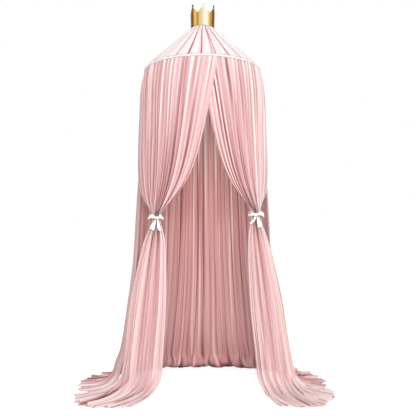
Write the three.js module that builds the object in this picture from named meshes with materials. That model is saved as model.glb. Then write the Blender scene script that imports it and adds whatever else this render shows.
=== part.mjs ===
// Bed crown canopy: a sheer cloth tent on a hoop, hung from a ring inside a gold crown,
// with two front curtains drawn aside by ribbon bows. Millimetres, +Z up, front towards -Y.
// The origin is the point where the ceiling hook bears on the inside of the hang ring.
import * as THREE from "three";
import { RoundedBoxGeometry } from "three/addons/geometries/RoundedBoxGeometry.js";

// Heights above the floor
const hang_height = 1913;
const hoop_height = 1590;

// Hoop, its plug sleeves and the casing sewn round it
const hoop_radius = 300;
const rod_radius = 3;
const rod_end_gap = 1;
const sleeve_wall = 1.2;
const sleeve_length = 30;
const casing_wall = 1.2;
const casing_slit = 4;
const hoop_segments = 48;
const hoop_joints = 4;
const rod_sides = 8;
const casing_sides = 7;

// Cloth
const cloth_thickness = 3;
const pleat_depth = 9;
const layer_offset = 7;
const sewn_layer_offset = 2.8;
const skirt_flare = 140;
const roof_pleats = 20;
const roof_pleat_depth = 6;
const drape_pleats = 13;
const curtain_pleats = 8;
const points_per_pleat = 4;

// Cloth lying on the floor
const puddle_thickness = 14;
const side_puddle_reach = 618;
const back_puddle_reach = 550;

// Neck of the roof cloth, its binding, the loop and the ring
const neck_hole_radius = 7.6;
const neck_height = 12;
const neck_drop = 30;
const binding_wall = 1.5;
const binding_width = 9;
const ring_hole_radius = 11;
const ring_wire_radius = 1.75;
const ring_segments = 28;
const ring_sides = 8;
const tape_width = 10;
const tape_thickness = 1.6;
const tape_turn_radius = 4.3;
const tape_turn_steps = 10;
const tape_tail = 12;

// Crown
const crown_radius = 62;
const crown_sheet = 1.5;
const crown_height = 117;
const crown_valley_height = 69;
const crown_tip_radius = 7.5;
const crown_neck_width = 9;
const crown_neck_height = 98;
const crown_flare_share = 0.045;
const crown_prongs = 6;
const crown_first_prong = 6;
const crown_columns = 6;

// Waists, where the tie-backs draw the curtains together
const waist_reach = 330;
const waist_radius = 32;
const waist_core_radius = 5;
const waist_band_height = 44;
const waist_mouth = 100;
const tied_fill_power = 4;

// Tie-backs: band, knot, two loops and two tails of ribbon
const ribbon_width = 18;
const ribbon_thickness = 1.2;
const band_segments = 28;
const knot_width = 13;
const knot_height = 15;
const knot_depth = 10;
const knot_rounding = 3;
const loop_reach = 32;
const loop_depth = 12;
const loop_lift = 3;
const loop_mouth = 2.6;
const loop_steps = 12;
const tail_length = 52;
const tail_spread = 15;
const tail_root = 4.4;
const tail_slant = 6;
const tail_swing = 15;
const tail_steps = 5;
const pinch_share = 0.42;

// Gap that touching pieces keep
const seat_gap = 0.3;

// Curtains. Angles are from the front towards +X, in degrees. Heights are above the floor.
const left_curtain = {
  lead_angle: 14,
  outer_angle: -94,
  lead_layer: 1,
  waist_angle: -40.7,
  waist_height: 812,
  foot_angle: -43,
  foot_reach: 412,
  puddle_angles: [-27, -43, -61],
  puddle_reaches: [640, 720, 660],
};
const right_curtain = {
  lead_angle: -3,
  outer_angle: 99,
  lead_layer: -1,
  waist_angle: 50.7,
  waist_height: 830,
  foot_angle: 55,
  foot_reach: 428,
  puddle_angles: [31, 43, 68],
  puddle_reaches: [640, 730, 668],
};
const drape_edge_angles = { left: -67, right: 77 };
const drape_foot_angles = { left: -64, right: 71.5 };
const column_half_width = 94;
const column_depth_share = 0.8;

// Skirt profile: height as a share of the hoop's height, flare as a share of skirt_flare
const skirt_profile_shares = [
  [0, 1.12],
  [0.06, 1],
  [0.11, 0.8],
  [0.25, 0.58],
  [0.4, 0.39],
  [0.55, 0.3],
  [0.75, 0.18],
  [0.9, 0.12],
  [1, 0],
];
// Rows of a drawn curtain, with the pleat depth of each as a share. Above the tie a row has its
// place along the way from the hoop to the waist. Below it a row has its height as a share of
// the waist's and its half width as a share of the column's. On the floor it has its spread.
const upper_row_shares = [
  { along: 0, pleat: 0.1 },
  { along: 0.13, pleat: 0.7 },
  { along: 0.38, pleat: 1 },
  { along: 0.62, pleat: 0.9 },
  { along: 0.82, pleat: 0.5 },
  { along: 0.95, pleat: 0.05 },
];
const column_row_shares = [
  { height: 0.86, width: 0.58, pleat: 0.25 },
  { height: 0.68, width: 0.8, pleat: 0.6 },
  { height: 0.45, width: 0.95, pleat: 0.75 },
  { height: 0.27, width: 1, pleat: 0.8 },
  { height: 0.14, width: 1.04, pleat: 0.8 },
];
const puddle_row_shares = [
  { spread: 0.3, rise: 0.045, pleat: 0.8 },
  { spread: 0.62, rise: 0.008, pleat: 0.7 },
  { spread: 1, rise: 0, pleat: 0.4 },
];
// Rows of the back drape: height as a share of the hoop's height, spread over the floor
const drape_row_shares = [
  { height: 1, spread: 0, pleat: 0.1 },
  { height: 0.92, spread: 0, pleat: 0.7 },
  { height: 0.7, spread: 0, pleat: 1 },
  { height: 0.45, spread: 0, pleat: 1 },
  { height: 0.25, spread: 0, pleat: 1 },
  { height: 0.1, spread: 0, pleat: 0.9 },
  { height: 0.028, spread: 0.14, pleat: 0.8 },
  { height: 0.004, spread: 0.5, pleat: 0.6 },
  { height: 0, spread: 1, pleat: 0.4 },
];
// Rows of the roof from neck to hoop; the crown's seat lies on the smooth cloth near the neck
const roof_row_shares = [
  { along: 0, pleat: 0 },
  { along: 0.2, pleat: 0 },
  { along: 0.62, pleat: 1 },
  { along: 1, pleat: 0.12 },
];
// Half width of a crown prong at shares of the way from its valley to the neck of its tip
const prong_shares = [
  [0, 1],
  [0.16, 0.78],
  [0.55, 0.46],
  [0.82, 0.22],
  [1, 0],
];
// Angles round the tip of a prong, as shares of a right angle
const tip_shares = [-0.3, 0.1, 0.5, 0.85];
const edge_fade_share = 0.28;
const edge_pleat_share = 0.25;
const bundle_start_share = 0.72;
const slant_share = 0.5;
const slant_power = 7;
const draw_in_power = 2;

// Worked out from the sizes above
const floor_z = -hang_height;
const hoop_z = hoop_height - hang_height;
const half_step = Math.PI / hoop_segments;
const sleeve_bore_radius = rod_radius + seat_gap;
const sleeve_radius = sleeve_bore_radius + sleeve_wall;
const casing_bore_radius = (sleeve_radius + seat_gap) / Math.cos(Math.PI / casing_sides);
const casing_radius = casing_bore_radius + casing_wall;
const neck_mid_radius = neck_hole_radius + cloth_thickness / 2;
const neck_radius = neck_hole_radius + cloth_thickness;
const neck_top_z = -neck_drop;
const neck_foot_z = neck_top_z - neck_height;
const roof_hem_z = hoop_z + casing_radius + seat_gap + cloth_thickness / 2;
const skirt_top_drop = casing_radius + seat_gap;

const materials_of = {
  gold: { color: 0xd9ab52, roughness: 0.28, metalness: 1 },
  steel: { color: 0xc9cbce, roughness: 0.35, metalness: 1 },
  sleeve: { color: 0xeceae6, roughness: 0.5, metalness: 0 },
  sheer: { color: 0xecc2c4, roughness: 0.8, metalness: 0 },
  roof: { color: 0xf4dcdc, roughness: 0.8, metalness: 0 },
  tape: { color: 0xf6f1ee, roughness: 0.7, metalness: 0 },
  satin: { color: 0xfaf8f6, roughness: 0.4, metalness: 0 },
};

const canopy = new THREE.Group();
const add_mesh = (parent, name, geometry, finish) => {
  const mesh = new THREE.Mesh(geometry, new THREE.MeshStandardMaterial(materials_of[finish]));
  mesh.name = name;
  parent.add(mesh);
  return mesh;
};

// Small helpers
const radians = THREE.MathUtils.degToRad;
const lerp = THREE.MathUtils.lerp;
const smooth = THREE.MathUtils.smoothstep;
const at_angle = (radius, angle, z) =>
  new THREE.Vector3(radius * Math.sin(angle), -radius * Math.cos(angle), z);

// Reads a table of [x, y] pairs at x, with straight lines between the points.
function table_value(table, x) {
  for (let i = 1; i < table.length; i++) {
    if (x <= table[i][0]) {
      const [x0, y0] = table[i - 1];
      const [x1, y1] = table[i];
      return lerp(y0, y1, (x - x0) / (x1 - x0));
    }
  }
  return table[table.length - 1][1];
}

// Turns points and triangles into a geometry whose faces point out.
function closed_geometry(points, triangles) {
  let six_volumes = 0;
  for (const [a, b, c] of triangles) {
    six_volumes += points[a].dot(points[b].clone().cross(points[c]));
  }
  const faces = six_volumes < 0 ? triangles.map(([a, b, c]) => [a, c, b]) : triangles;
  const geometry = new THREE.BufferGeometry().setFromPoints(points);
  geometry.setIndex(faces.flat());
  geometry.computeVertexNormals();
  return geometry;
}

// A sheet between two grids of points, front[row][column] and back[row][column].
// round: the last column joins the first. ring: the last row joins the first.
function sheet_between(front, back, { round = false, ring = false } = {}) {
  const rows = front.length;
  const columns = front[0].length;
  const points = [...front.flat(), ...back.flat()];
  const front_at = (i, j) => (i % rows) * columns + (j % columns);
  const back_at = (i, j) => rows * columns + front_at(i, j);
  const triangles = [];
  const quad = (a, b, c, d) => triangles.push([a, b, c], [a, c, d]);
  const row_spans = ring ? rows : rows - 1;
  const column_spans = round ? columns : columns - 1;
  for (let i = 0; i < row_spans; i++) {
    for (let j = 0; j < column_spans; j++) {
      quad(front_at(i, j), front_at(i, j + 1), front_at(i + 1, j + 1), front_at(i + 1, j));
      quad(back_at(i, j), back_at(i + 1, j), back_at(i + 1, j + 1), back_at(i, j + 1));
    }
  }
  if (!round) {
    for (let i = 0; i < row_spans; i++) {
      quad(front_at(i, 0), front_at(i + 1, 0), back_at(i + 1, 0), back_at(i, 0));
      const last = columns - 1;
      quad(front_at(i, last), back_at(i, last), back_at(i + 1, last), front_at(i + 1, last));
    }
  }
  if (!ring) {
    for (let j = 0; j < column_spans; j++) {
      quad(front_at(0, j), back_at(0, j), back_at(0, j + 1), front_at(0, j + 1));
      const last = rows - 1;
      quad(front_at(last, j), front_at(last, j + 1), back_at(last, j + 1), back_at(last, j));
    }
  }
  return closed_geometry(points, triangles);
}

// Sweeps a closed section along a list of stations, with flat ends. Each station is an array
// of points, as many in each.
function swept(stations, closed = false) {
  const sides = stations[0].length;
  const points = stations.flat();
  const triangles = [];
  const spans = closed ? stations.length : stations.length - 1;
  for (let i = 0; i < spans; i++) {
    const here = i * sides;
    const next = ((i + 1) % stations.length) * sides;
    for (let k = 0; k < sides; k++) {
      const l = (k + 1) % sides;
      triangles.push([here + k, here + l, next + l], [here + k, next + l, next + k]);
    }
  }
  if (!closed) {
    const last = (stations.length - 1) * sides;
    for (let k = 1; k < sides - 1; k++) {
      triangles.push([0, k + 1, k], [last, last + k, last + k + 1]);
    }
  }
  return closed_geometry(points, triangles);
}

// Unit normals of a grid of points, by the differences to its neighbours
function grid_normals(grid, round) {
  const rows = grid.length;
  const columns = grid[0].length;
  return grid.map((row, i) =>
    row.map((_, j) => {
      const before = round ? (j + columns - 1) % columns : Math.max(j - 1, 0);
      const after = round ? (j + 1) % columns : Math.min(j + 1, columns - 1);
      const across = grid[i][after].clone().sub(grid[i][before]);
      const down = grid[Math.min(i + 1, rows - 1)][j].clone().sub(grid[Math.max(i - 1, 0)][j]);
      return across.cross(down).normalize();
    }),
  );
}

// A pleated cloth on a smooth middle grid. thick and wave give each point's thickness and
// its pleat; bunch, from 0 to 1, keeps the pleat off the inside where cloth is gathered solid.
function pleated_cloth(middle, thick, wave, bunch, { round = false, facing = 1 } = {}) {
  const normals = grid_normals(middle, round);
  const offset = (side) =>
    middle.map((row, i) =>
      row.map((point, j) => {
        const pleat = wave(i, j) * (side > 0 ? 1 : 1 - bunch(i, j));
        const away = (side * thick(i, j)) / 2 + pleat;
        const normal = normals[i][j].clone();
        normal.z *= 1 - bunch(i, j);
        const placed = point.clone().addScaledVector(normal.normalize(), facing * away);
        placed.z = Math.max(placed.z, floor_z);
        return placed;
      }),
    );
  return sheet_between(offset(1), offset(-1), { round });
}

// Radius of the skirt's middle layer at a height above the floor
const skirt_radius = (height) =>
  hoop_radius + skirt_flare * table_value(skirt_profile_shares, height / hoop_height);

// A pleat is a plain wave along the cloth, shallow near a free edge that lies on another layer.
const pleat_wave = (share, pleats) => Math.cos(2 * Math.PI * pleats * share);
const edge_fade = (share) =>
  lerp(edge_pleat_share, 1, smooth(Math.min(share, 1 - share), edge_fade_share / 2, edge_fade_share));

// Hoop pieces lie on one ring of straight chords, so that they fit in each other.
function on_hoop(radial, angle, z) {
  const step = 2 * half_step;
  const to_middle = angle - Math.round(angle / step) * step;
  const radius = ((hoop_radius + radial) * Math.cos(half_step)) / Math.cos(to_middle);
  return at_angle(radius, angle, hoop_z + z);
}

// Angles of the ring's corners from one angle to another, with both ends
function chord_angles(from, to) {
  const step = 2 * half_step;
  const angles = [from];
  for (let k = Math.ceil(from / step + 1 / 2); (k - 1 / 2) * step < to; k++) {
    angles.push((k - 1 / 2) * step);
  }
  angles.push(to);
  return angles;
}

const circle_shares = (sides) => Array.from({ length: sides }, (_, k) => (k + 1 / 2) / sides);

function round_section(radius, sides) {
  return circle_shares(sides).map((share) => {
    const turn = 2 * Math.PI * share;
    return [radius * Math.cos(turn), radius * Math.sin(turn)];
  });
}

function hoop_rod(index) {
  const quarter = (2 * Math.PI) / hoop_joints;
  const end_angle = rod_end_gap / 2 / hoop_radius;
  const from = index * quarter + end_angle;
  const to = (index + 1) * quarter - end_angle;
  const section = round_section(rod_radius, rod_sides);
  return swept(chord_angles(from, to).map((angle) => section.map(([r, z]) => on_hoop(r, angle, z))));
}

function hoop_sleeve(index) {
  const middle = (index * 2 * Math.PI) / hoop_joints;
  const half_angle = sleeve_length / 2 / hoop_radius;
  const outside = round_section(sleeve_radius, rod_sides);
  const bore = round_section(sleeve_bore_radius / Math.cos(Math.PI / rod_sides), rod_sides);
  const ends = [middle - half_angle, middle + half_angle];
  const grid = (section) => ends.map((angle) => section.map(([r, z]) => on_hoop(r, angle, z)));
  return sheet_between(grid(outside), grid(bore), { round: true });
}

// The casing is a tunnel with a slit underneath on its inner side, where the rods go in.
function hoop_casing() {
  const slit_turn = casing_slit / casing_bore_radius;
  const turns = Array.from({ length: casing_sides + 1 }, (_, k) => k / casing_sides);
  const slit_middle = (-3 * Math.PI) / 4;
  const angle_of = (share) => slit_middle + slit_turn / 2 + share * (2 * Math.PI - slit_turn);
  const line = (radius) =>
    turns.map((share) => [radius * Math.cos(angle_of(share)), radius * Math.sin(angle_of(share))]);
  const around = Array.from({ length: hoop_segments }, (_, k) => (2 * k - 1) * half_step);
  const grid = (section) => around.map((angle) => section.map(([r, z]) => on_hoop(r, angle, z)));
  return sheet_between(grid(line(casing_radius)), grid(line(casing_bore_radius)), { ring: true });
}

// Roof cloth: a short neck, then a cone of pleats down to the casing
function roof_cloth() {
  const columns = roof_pleats * points_per_pleat;
  const shares = Array.from({ length: columns }, (_, j) => j / columns);
  const neck_row = (z) => shares.map((share) => at_angle(neck_mid_radius, 2 * Math.PI * share, z));
  const cone_row = (row) =>
    shares.map((share) => {
      const radius = lerp(neck_mid_radius, hoop_radius, row.along);
      const z = lerp(neck_foot_z, roof_hem_z, row.along);
      return at_angle(radius, 2 * Math.PI * share, z);
    });
  const middle = [neck_row(neck_top_z), ...roof_row_shares.map(cone_row)];
  const depths = [0, ...roof_row_shares.map((row) => row.pleat * roof_pleat_depth)];
  const wave = (i, j) => depths[i] * pleat_wave(shares[j], roof_pleats);
  return pleated_cloth(
    middle,
    () => cloth_thickness,
    wave,
    () => 0,
    { round: true },
  );
}

// Back drape: hangs from the casing behind and at both sides, and runs out over the floor
function back_drape() {
  const columns = drape_pleats * points_per_pleat;
  const shares = Array.from({ length: columns + 1 }, (_, j) => j / columns);
  const middle = drape_row_shares.map((row, i) => {
    const from = radians(lerp(drape_edge_angles.right, drape_foot_angles.right, row.spread));
    const to = radians(360 + lerp(drape_edge_angles.left, drape_foot_angles.left, row.spread));
    return shares.map((share) => {
      const angle = lerp(from, to, share);
      const behind = smooth(-Math.cos(angle), 0, 1);
      const reach = lerp(side_puddle_reach, back_puddle_reach, behind);
      const sewn = i === 0;
      const inset = sewn ? sewn_layer_offset : layer_offset;
      const radius = lerp(skirt_radius(row.height * hoop_height) - inset, reach, row.spread);
      const top = hoop_height - skirt_top_drop;
      const lift = lerp(puddle_thickness / 2, 0, row.height);
      return at_angle(radius, angle, floor_z + lerp(0, top, row.height) + lift);
    });
  });
  const thick = (i) => lerp(cloth_thickness, puddle_thickness, drape_row_shares[i].spread);
  const wave = (i, j) =>
    drape_row_shares[i].pleat * pleat_depth * edge_fade(shares[j]) * pleat_wave(shares[j], drape_pleats);
  return pleated_cloth(middle, thick, wave, () => 0, { facing: 1 });
}

// Centre of a curtain's column of cloth below its waist
function column_centre(curtain, height) {
  const tie_foot = curtain.waist_height - waist_band_height / 2;
  const share = Math.max(1 - height / tie_foot, 0);
  const reach = lerp(waist_reach, curtain.foot_reach, share);
  const angle = radians(lerp(curtain.waist_angle, curtain.foot_angle, share));
  return at_angle(reach, angle, floor_z + height);
}

// A drawn curtain: sewn to the casing, drawn round to its waist, solid where it is tied,
// then a column of cloth that opens and runs out over the floor.
function drawn_curtain(curtain) {
  const columns = curtain_pleats * points_per_pleat;
  const shares = Array.from({ length: columns + 1 }, (_, j) => j / columns);
  const side = Math.sign(curtain.waist_angle);
  const lead = radians(curtain.lead_angle);
  const outer = radians(curtain.outer_angle);
  const tie_top = curtain.waist_height + waist_band_height / 2;
  const tie_foot = curtain.waist_height - waist_band_height / 2;
  const core_radius = (waist_radius + waist_core_radius) / 2;
  // Around the bundle the cloth goes from its back, past the door side and the front.
  const bundle_turn = (share) => {
    const span = radians(360 - waist_mouth);
    const start = radians(waist_mouth / 2) - Math.PI;
    return start + share * span;
  };
  const around_column = (height, half_width, half_depth, share) => {
    const centre = column_centre(curtain, height);
    const turn = bundle_turn(share);
    const outwards = Math.cos(turn) * half_depth;
    const across = side * Math.sin(turn) * half_width;
    const angle = radians(curtain.waist_angle);
    const radial = at_angle(1, angle, 0);
    const tangent = new THREE.Vector3(Math.cos(angle), Math.sin(angle), 0);
    return centre.addScaledVector(radial, outwards).addScaledVector(tangent, across);
  };
  const middle = [];
  const thickness = [];
  const pleats = [];
  const bunched = [];
  const add_row = (points, thick, pleat, bunch) => {
    middle.push(points);
    thickness.push(thick);
    pleats.push(pleat);
    bunched.push(bunch);
  };
  const tied_thickness = waist_radius - waist_core_radius;
  for (const row of upper_row_shares) {
    const sewn = row.along === 0;
    const height = lerp(hoop_height - (sewn ? skirt_top_drop : 0), tie_top, row.along);
    const points = shares.map((share) => {
      const drawn = slant_share * row.along + (1 - slant_share) * row.along ** slant_power;
      const layer = lerp(curtain.lead_layer, 1, smooth(share, 0, 1 / 2));
      const offset = layer * (sewn ? sewn_layer_offset : layer_offset);
      const tied = around_column(tie_top, core_radius, core_radius, share);
      const tied_angle = Math.atan2(tied.x, -tied.y);
      const tied_reach = Math.hypot(tied.x, tied.y);
      const angle = lerp(lerp(lead, outer, share), tied_angle, drawn);
      const radius = lerp(skirt_radius(height) + offset, tied_reach, drawn ** draw_in_power);
      return at_angle(radius, angle, floor_z + height);
    });
    const bunch = smooth(row.along, bundle_start_share, 1);
    add_row(points, lerp(cloth_thickness, tied_thickness, bunch ** tied_fill_power), row.pleat, bunch);
  }
  for (const height of [tie_top, tie_foot]) {
    const points = shares.map((share) => around_column(height, core_radius, core_radius, share));
    add_row(points, tied_thickness, 0, 1);
  }
  for (const row of column_row_shares) {
    const height = row.height * curtain.waist_height;
    const half_width = row.width * column_half_width;
    const points = shares.map((share) =>
      around_column(height, half_width, half_width * column_depth_share, share),
    );
    const first = row === column_row_shares[0];
    add_row(points, first ? tied_thickness / 2 : cloth_thickness, row.pleat, first ? 1 : 0);
  }
  const foot = column_row_shares[column_row_shares.length - 1];
  for (const row of puddle_row_shares) {
    const points = shares.map((share, j) => {
      const start = middle[middle.length - 1 - puddle_row_shares.indexOf(row)][j];
      const angle_table = [0, 1 / 2, 1].map((s, k) => [s, radians(curtain.puddle_angles[k])]);
      const reach_table = [0, 1 / 2, 1].map((s, k) => [s, curtain.puddle_reaches[k]]);
      const target = at_angle(table_value(reach_table, share), table_value(angle_table, share), 0);
      const point = start.clone().lerp(target, row.spread);
      const rise = row.rise * curtain.waist_height;
      point.z = floor_z + puddle_thickness / 2 + rise;
      return point;
    });
    const thick = lerp(cloth_thickness, puddle_thickness, row.spread);
    add_row(points, thick, row.pleat, 0);
  }
  const thick = (i) => thickness[i];
  const wave = (i, j) =>
    pleats[i] * pleat_depth * edge_fade(shares[j]) * pleat_wave(shares[j], curtain_pleats);
  return pleated_cloth(middle, thick, wave, (i) => bunched[i], { facing: -side });
}

// Tape wound round the gathered neck
function neck_binding() {
  const inner = neck_radius + seat_gap;
  const outer = inner + binding_wall;
  const half = binding_width / 2;
  const profile = [
    [inner, -half],
    [outer, -half],
    [outer, half],
    [inner, half],
    [inner, -half],
  ].map(([r, z]) => new THREE.Vector2(r, z));
  const geometry = new THREE.LatheGeometry(profile, band_segments);
  return geometry.rotateX(Math.PI / 2);
}

// Tape folded over the bottom of the ring, with both ends sewn into the neck
function hang_loop() {
  const half = tape_width / 2;
  const saddle_z = -ring_hole_radius - Math.sqrt(ring_hole_radius ** 2 - half ** 2);
  const turn_z = saddle_z + seat_gap - (tape_turn_radius - tape_thickness / 2);
  const end_z = neck_top_z - tape_tail;
  const line = (radius) => {
    const points = [[-radius, end_z]];
    for (let k = 0; k <= tape_turn_steps; k++) {
      const turn = Math.PI * (1 - k / tape_turn_steps);
      points.push([radius * Math.cos(turn), turn_z + radius * Math.sin(turn)]);
    }
    points.push([radius, end_z]);
    return points;
  };
  const grid = (radius) =>
    line(radius).map(([y, z]) => [new THREE.Vector3(-half, y, z), new THREE.Vector3(half, y, z)]);
  const outer = tape_turn_radius + tape_thickness / 2;
  const inner = tape_turn_radius - tape_thickness / 2;
  return sheet_between(grid(outer), grid(inner));
}

// Crown: a band that flares a little, cut into prongs with round tips
function crown_shell() {
  const sector = (2 * Math.PI) / crown_prongs;
  const valley_half = (sector / 2) * crown_radius;
  const tip_middle = crown_height - crown_tip_radius;
  const rise = crown_neck_height - crown_valley_height;
  const prong_rows = prong_shares.map(([up, wide]) => [
    crown_valley_height + up * rise,
    lerp(crown_neck_width / 2, valley_half, wide),
  ]);
  const tip_rows = tip_shares.map((share) => {
    const turn = (share * Math.PI) / 2;
    return [tip_middle + crown_tip_radius * Math.sin(turn), crown_tip_radius * Math.cos(turn)];
  });
  const rows = [[0, valley_half], ...prong_rows, ...tip_rows];
  const points = [];
  const triangles = [];
  const found = new Map();
  const vertex = (radius_in, angle, z) => {
    const radius = (crown_radius - radius_in) * (1 + (crown_flare_share * z) / crown_height);
    const point = at_angle(radius, angle, z);
    const key = point.toArray().map((n) => n.toFixed(3)).join();
    if (!found.has(key)) {
      found.set(key, points.length);
      points.push(point);
    }
    return found.get(key);
  };
  const quad = (a, b, c, d) => triangles.push([a, b, c], [a, c, d]);
  for (let prong = 0; prong < crown_prongs; prong++) {
    const middle = radians(crown_first_prong) + prong * sector;
    const at = (i, j, inset) => {
      const [z, half] = rows[i];
      const across = ((2 * j) / crown_columns - 1) * half;
      return vertex(inset, middle + across / crown_radius, z);
    };
    for (let i = 0; i < rows.length - 1; i++) {
      for (let j = 0; j < crown_columns; j++) {
        quad(at(i, j, 0), at(i, j + 1, 0), at(i + 1, j + 1, 0), at(i + 1, j, 0));
        const s = crown_sheet;
        quad(at(i, j, s), at(i + 1, j, s), at(i + 1, j + 1, s), at(i, j + 1, s));
      }
    }
    const last = crown_columns;
    const top = rows.length - 1;
    for (let i = 1; i < top; i++) {
      const s = crown_sheet;
      quad(at(i, 0, 0), at(i + 1, 0, 0), at(i + 1, 0, s), at(i, 0, s));
      quad(at(i, last, 0), at(i, last, s), at(i + 1, last, s), at(i + 1, last, 0));
    }
    for (let j = 0; j < last; j++) {
      const s = crown_sheet;
      quad(at(0, j, 0), at(0, j, s), at(0, j + 1, s), at(0, j + 1, 0));
      quad(at(top, j, 0), at(top, j + 1, 0), at(top, j + 1, s), at(top, j, s));
    }
  }
  return closed_geometry(points, triangles);
}

// Height where the crown's lower rim meets the cone of the roof
function crown_seat_z() {
  const run = hoop_radius - neck_mid_radius;
  const fall = neck_foot_z - roof_hem_z;
  const level = fall / Math.hypot(run, fall);
  const middle_radius = crown_radius - crown_sheet - (cloth_thickness / 2 + seat_gap) / level;
  return neck_foot_z - ((middle_radius - neck_mid_radius) * fall) / run;
}

// Tie-back pieces, about the centre of the waist, with the bow towards -Y
const band_bore_radius = (waist_radius + seat_gap) / Math.cos(Math.PI / band_segments);
const band_radius = band_bore_radius + ribbon_thickness;
const bow_y = -(band_radius + seat_gap + knot_depth / 2);
const knot_side = knot_width / 2 + seat_gap;
const knot_under = knot_height / 2 + seat_gap;

function tie_band() {
  const half = ribbon_width / 2;
  const profile = [
    [band_bore_radius, -half],
    [band_radius, -half],
    [band_radius, half],
    [band_bore_radius, half],
    [band_bore_radius, -half],
  ].map(([r, z]) => new THREE.Vector2(r, z));
  return new THREE.LatheGeometry(profile, band_segments).rotateX(Math.PI / 2);
}

function bow_knot() {
  return new RoundedBoxGeometry(knot_width, knot_depth, knot_height, 1, knot_rounding);
}

// A bow loop: ribbon that leaves the knot, turns round and comes back behind itself
function bow_loop(side) {
  const mouth_turn = Math.asin(loop_mouth / loop_depth);
  const middle = Array.from({ length: loop_steps + 1 }, (_, k) => {
    const turn = lerp(mouth_turn - Math.PI, Math.PI - mouth_turn, k / loop_steps);
    const out = (1 + Math.cos(turn)) / 2;
    const x = side * (knot_side + ribbon_thickness / 2 + loop_reach * out);
    const y = bow_y + (loop_depth / 2) * Math.sin(turn);
    const half = (ribbon_width / 2) * lerp(pinch_share, 1, Math.sqrt(out));
    const z = loop_lift * Math.sin(Math.PI * out);
    return [new THREE.Vector3(x, y, z - half), new THREE.Vector3(x, y, z + half)];
  });
  return pleated_cloth(middle, () => ribbon_thickness, () => 0, () => 0);
}

// A bow tail: ribbon that falls from under the knot and lies off the curtain, cut at a slant
function bow_tail(side) {
  const middle = Array.from({ length: tail_steps + 1 }, (_, k) => {
    const down = k / tail_steps;
    const half = (ribbon_width / 2) * lerp(pinch_share, 1, smooth(down, 0, 1));
    const x = side * lerp(tail_root, tail_spread, down);
    const y = bow_y - tail_swing * down;
    const z = -knot_under - tail_length * down;
    const inner = new THREE.Vector3(x - side * half, y, z + tail_slant * down);
    const outer = new THREE.Vector3(x + side * half, y, z);
    return [inner, outer];
  });
  return pleated_cloth(middle, () => ribbon_thickness, () => 0, () => 0);
}

function tie_back(name, curtain) {
  const group = new THREE.Group();
  group.position.copy(at_angle(waist_reach, radians(curtain.waist_angle), 0));
  group.position.z = floor_z + curtain.waist_height;
  add_mesh(group, name + "_band", tie_band(), "satin");
  add_mesh(group, name + "_knot", bow_knot(), "satin").position.y = bow_y;
  add_mesh(group, name + "_loop_left", bow_loop(-1), "satin");
  add_mesh(group, name + "_loop_right", bow_loop(1), "satin");
  add_mesh(group, name + "_tail_left", bow_tail(-1), "satin");
  add_mesh(group, name + "_tail_right", bow_tail(1), "satin");
  return group;
}

// The assembly
const crown = new THREE.Group();
crown.position.z = crown_seat_z();
add_mesh(crown, "crown_shell", crown_shell(), "gold");
canopy.add(crown);

const ring_turn_radius = ring_hole_radius + ring_wire_radius;
const ring_shape = new THREE.TorusGeometry(
  ring_turn_radius,
  ring_wire_radius,
  ring_sides,
  ring_segments,
);
const hang_ring = add_mesh(canopy, "hang_ring", ring_shape, "steel");
hang_ring.rotation.x = Math.PI / 2;
hang_ring.position.z = -ring_hole_radius;
add_mesh(canopy, "hang_loop", hang_loop(), "tape");
add_mesh(canopy, "neck_binding", neck_binding(), "tape").position.z = neck_top_z - neck_height / 2;

add_mesh(canopy, "roof_cloth", roof_cloth(), "roof");
add_mesh(canopy, "hoop_casing", hoop_casing(), "tape");
for (let index = 0; index < hoop_joints; index++) {
  add_mesh(canopy, "hoop_rod_" + (index + 1), hoop_rod(index), "steel");
  add_mesh(canopy, "hoop_sleeve_" + (index + 1), hoop_sleeve(index), "sleeve");
}
add_mesh(canopy, "back_drape", back_drape(), "sheer");
add_mesh(canopy, "curtain_left", drawn_curtain(left_curtain), "sheer");
add_mesh(canopy, "curtain_right", drawn_curtain(right_curtain), "sheer");
canopy.add(tie_back("tieback_left", left_curtain));
canopy.add(tie_back("tieback_right", right_curtain));

export default canopy;
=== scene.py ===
# Bed crown canopy: sheer cloth on a hoop, a gold crown, two curtains tied aside with satin bows.
# Metres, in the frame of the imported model: +Z up, front towards -Y, the origin at the hook's seat.
# Angles go from the front towards +X, in degrees. Heights are above the floor.
import math

import bmesh
import bpy
import numpy as np
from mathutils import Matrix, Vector


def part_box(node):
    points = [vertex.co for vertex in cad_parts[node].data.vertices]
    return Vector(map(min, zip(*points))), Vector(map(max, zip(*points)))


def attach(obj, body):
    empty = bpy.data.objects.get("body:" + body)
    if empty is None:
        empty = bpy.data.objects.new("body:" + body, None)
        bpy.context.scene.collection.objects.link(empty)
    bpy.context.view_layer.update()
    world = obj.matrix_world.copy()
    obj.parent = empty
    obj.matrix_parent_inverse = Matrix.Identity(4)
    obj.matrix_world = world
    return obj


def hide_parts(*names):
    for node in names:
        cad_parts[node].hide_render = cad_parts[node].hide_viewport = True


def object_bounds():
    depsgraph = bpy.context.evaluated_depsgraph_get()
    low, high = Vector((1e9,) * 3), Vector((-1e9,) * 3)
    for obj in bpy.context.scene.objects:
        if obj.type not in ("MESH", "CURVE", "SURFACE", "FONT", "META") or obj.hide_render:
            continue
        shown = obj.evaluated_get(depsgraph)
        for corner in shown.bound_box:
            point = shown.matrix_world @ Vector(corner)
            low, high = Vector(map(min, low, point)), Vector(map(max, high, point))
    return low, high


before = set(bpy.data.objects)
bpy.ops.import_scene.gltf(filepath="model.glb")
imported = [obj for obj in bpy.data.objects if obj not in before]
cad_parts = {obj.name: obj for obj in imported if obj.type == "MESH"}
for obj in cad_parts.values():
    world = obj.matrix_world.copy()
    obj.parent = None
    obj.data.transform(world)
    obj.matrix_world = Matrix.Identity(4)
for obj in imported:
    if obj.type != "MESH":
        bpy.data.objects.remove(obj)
cad_low, cad_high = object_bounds()

MM = 0.001

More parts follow.
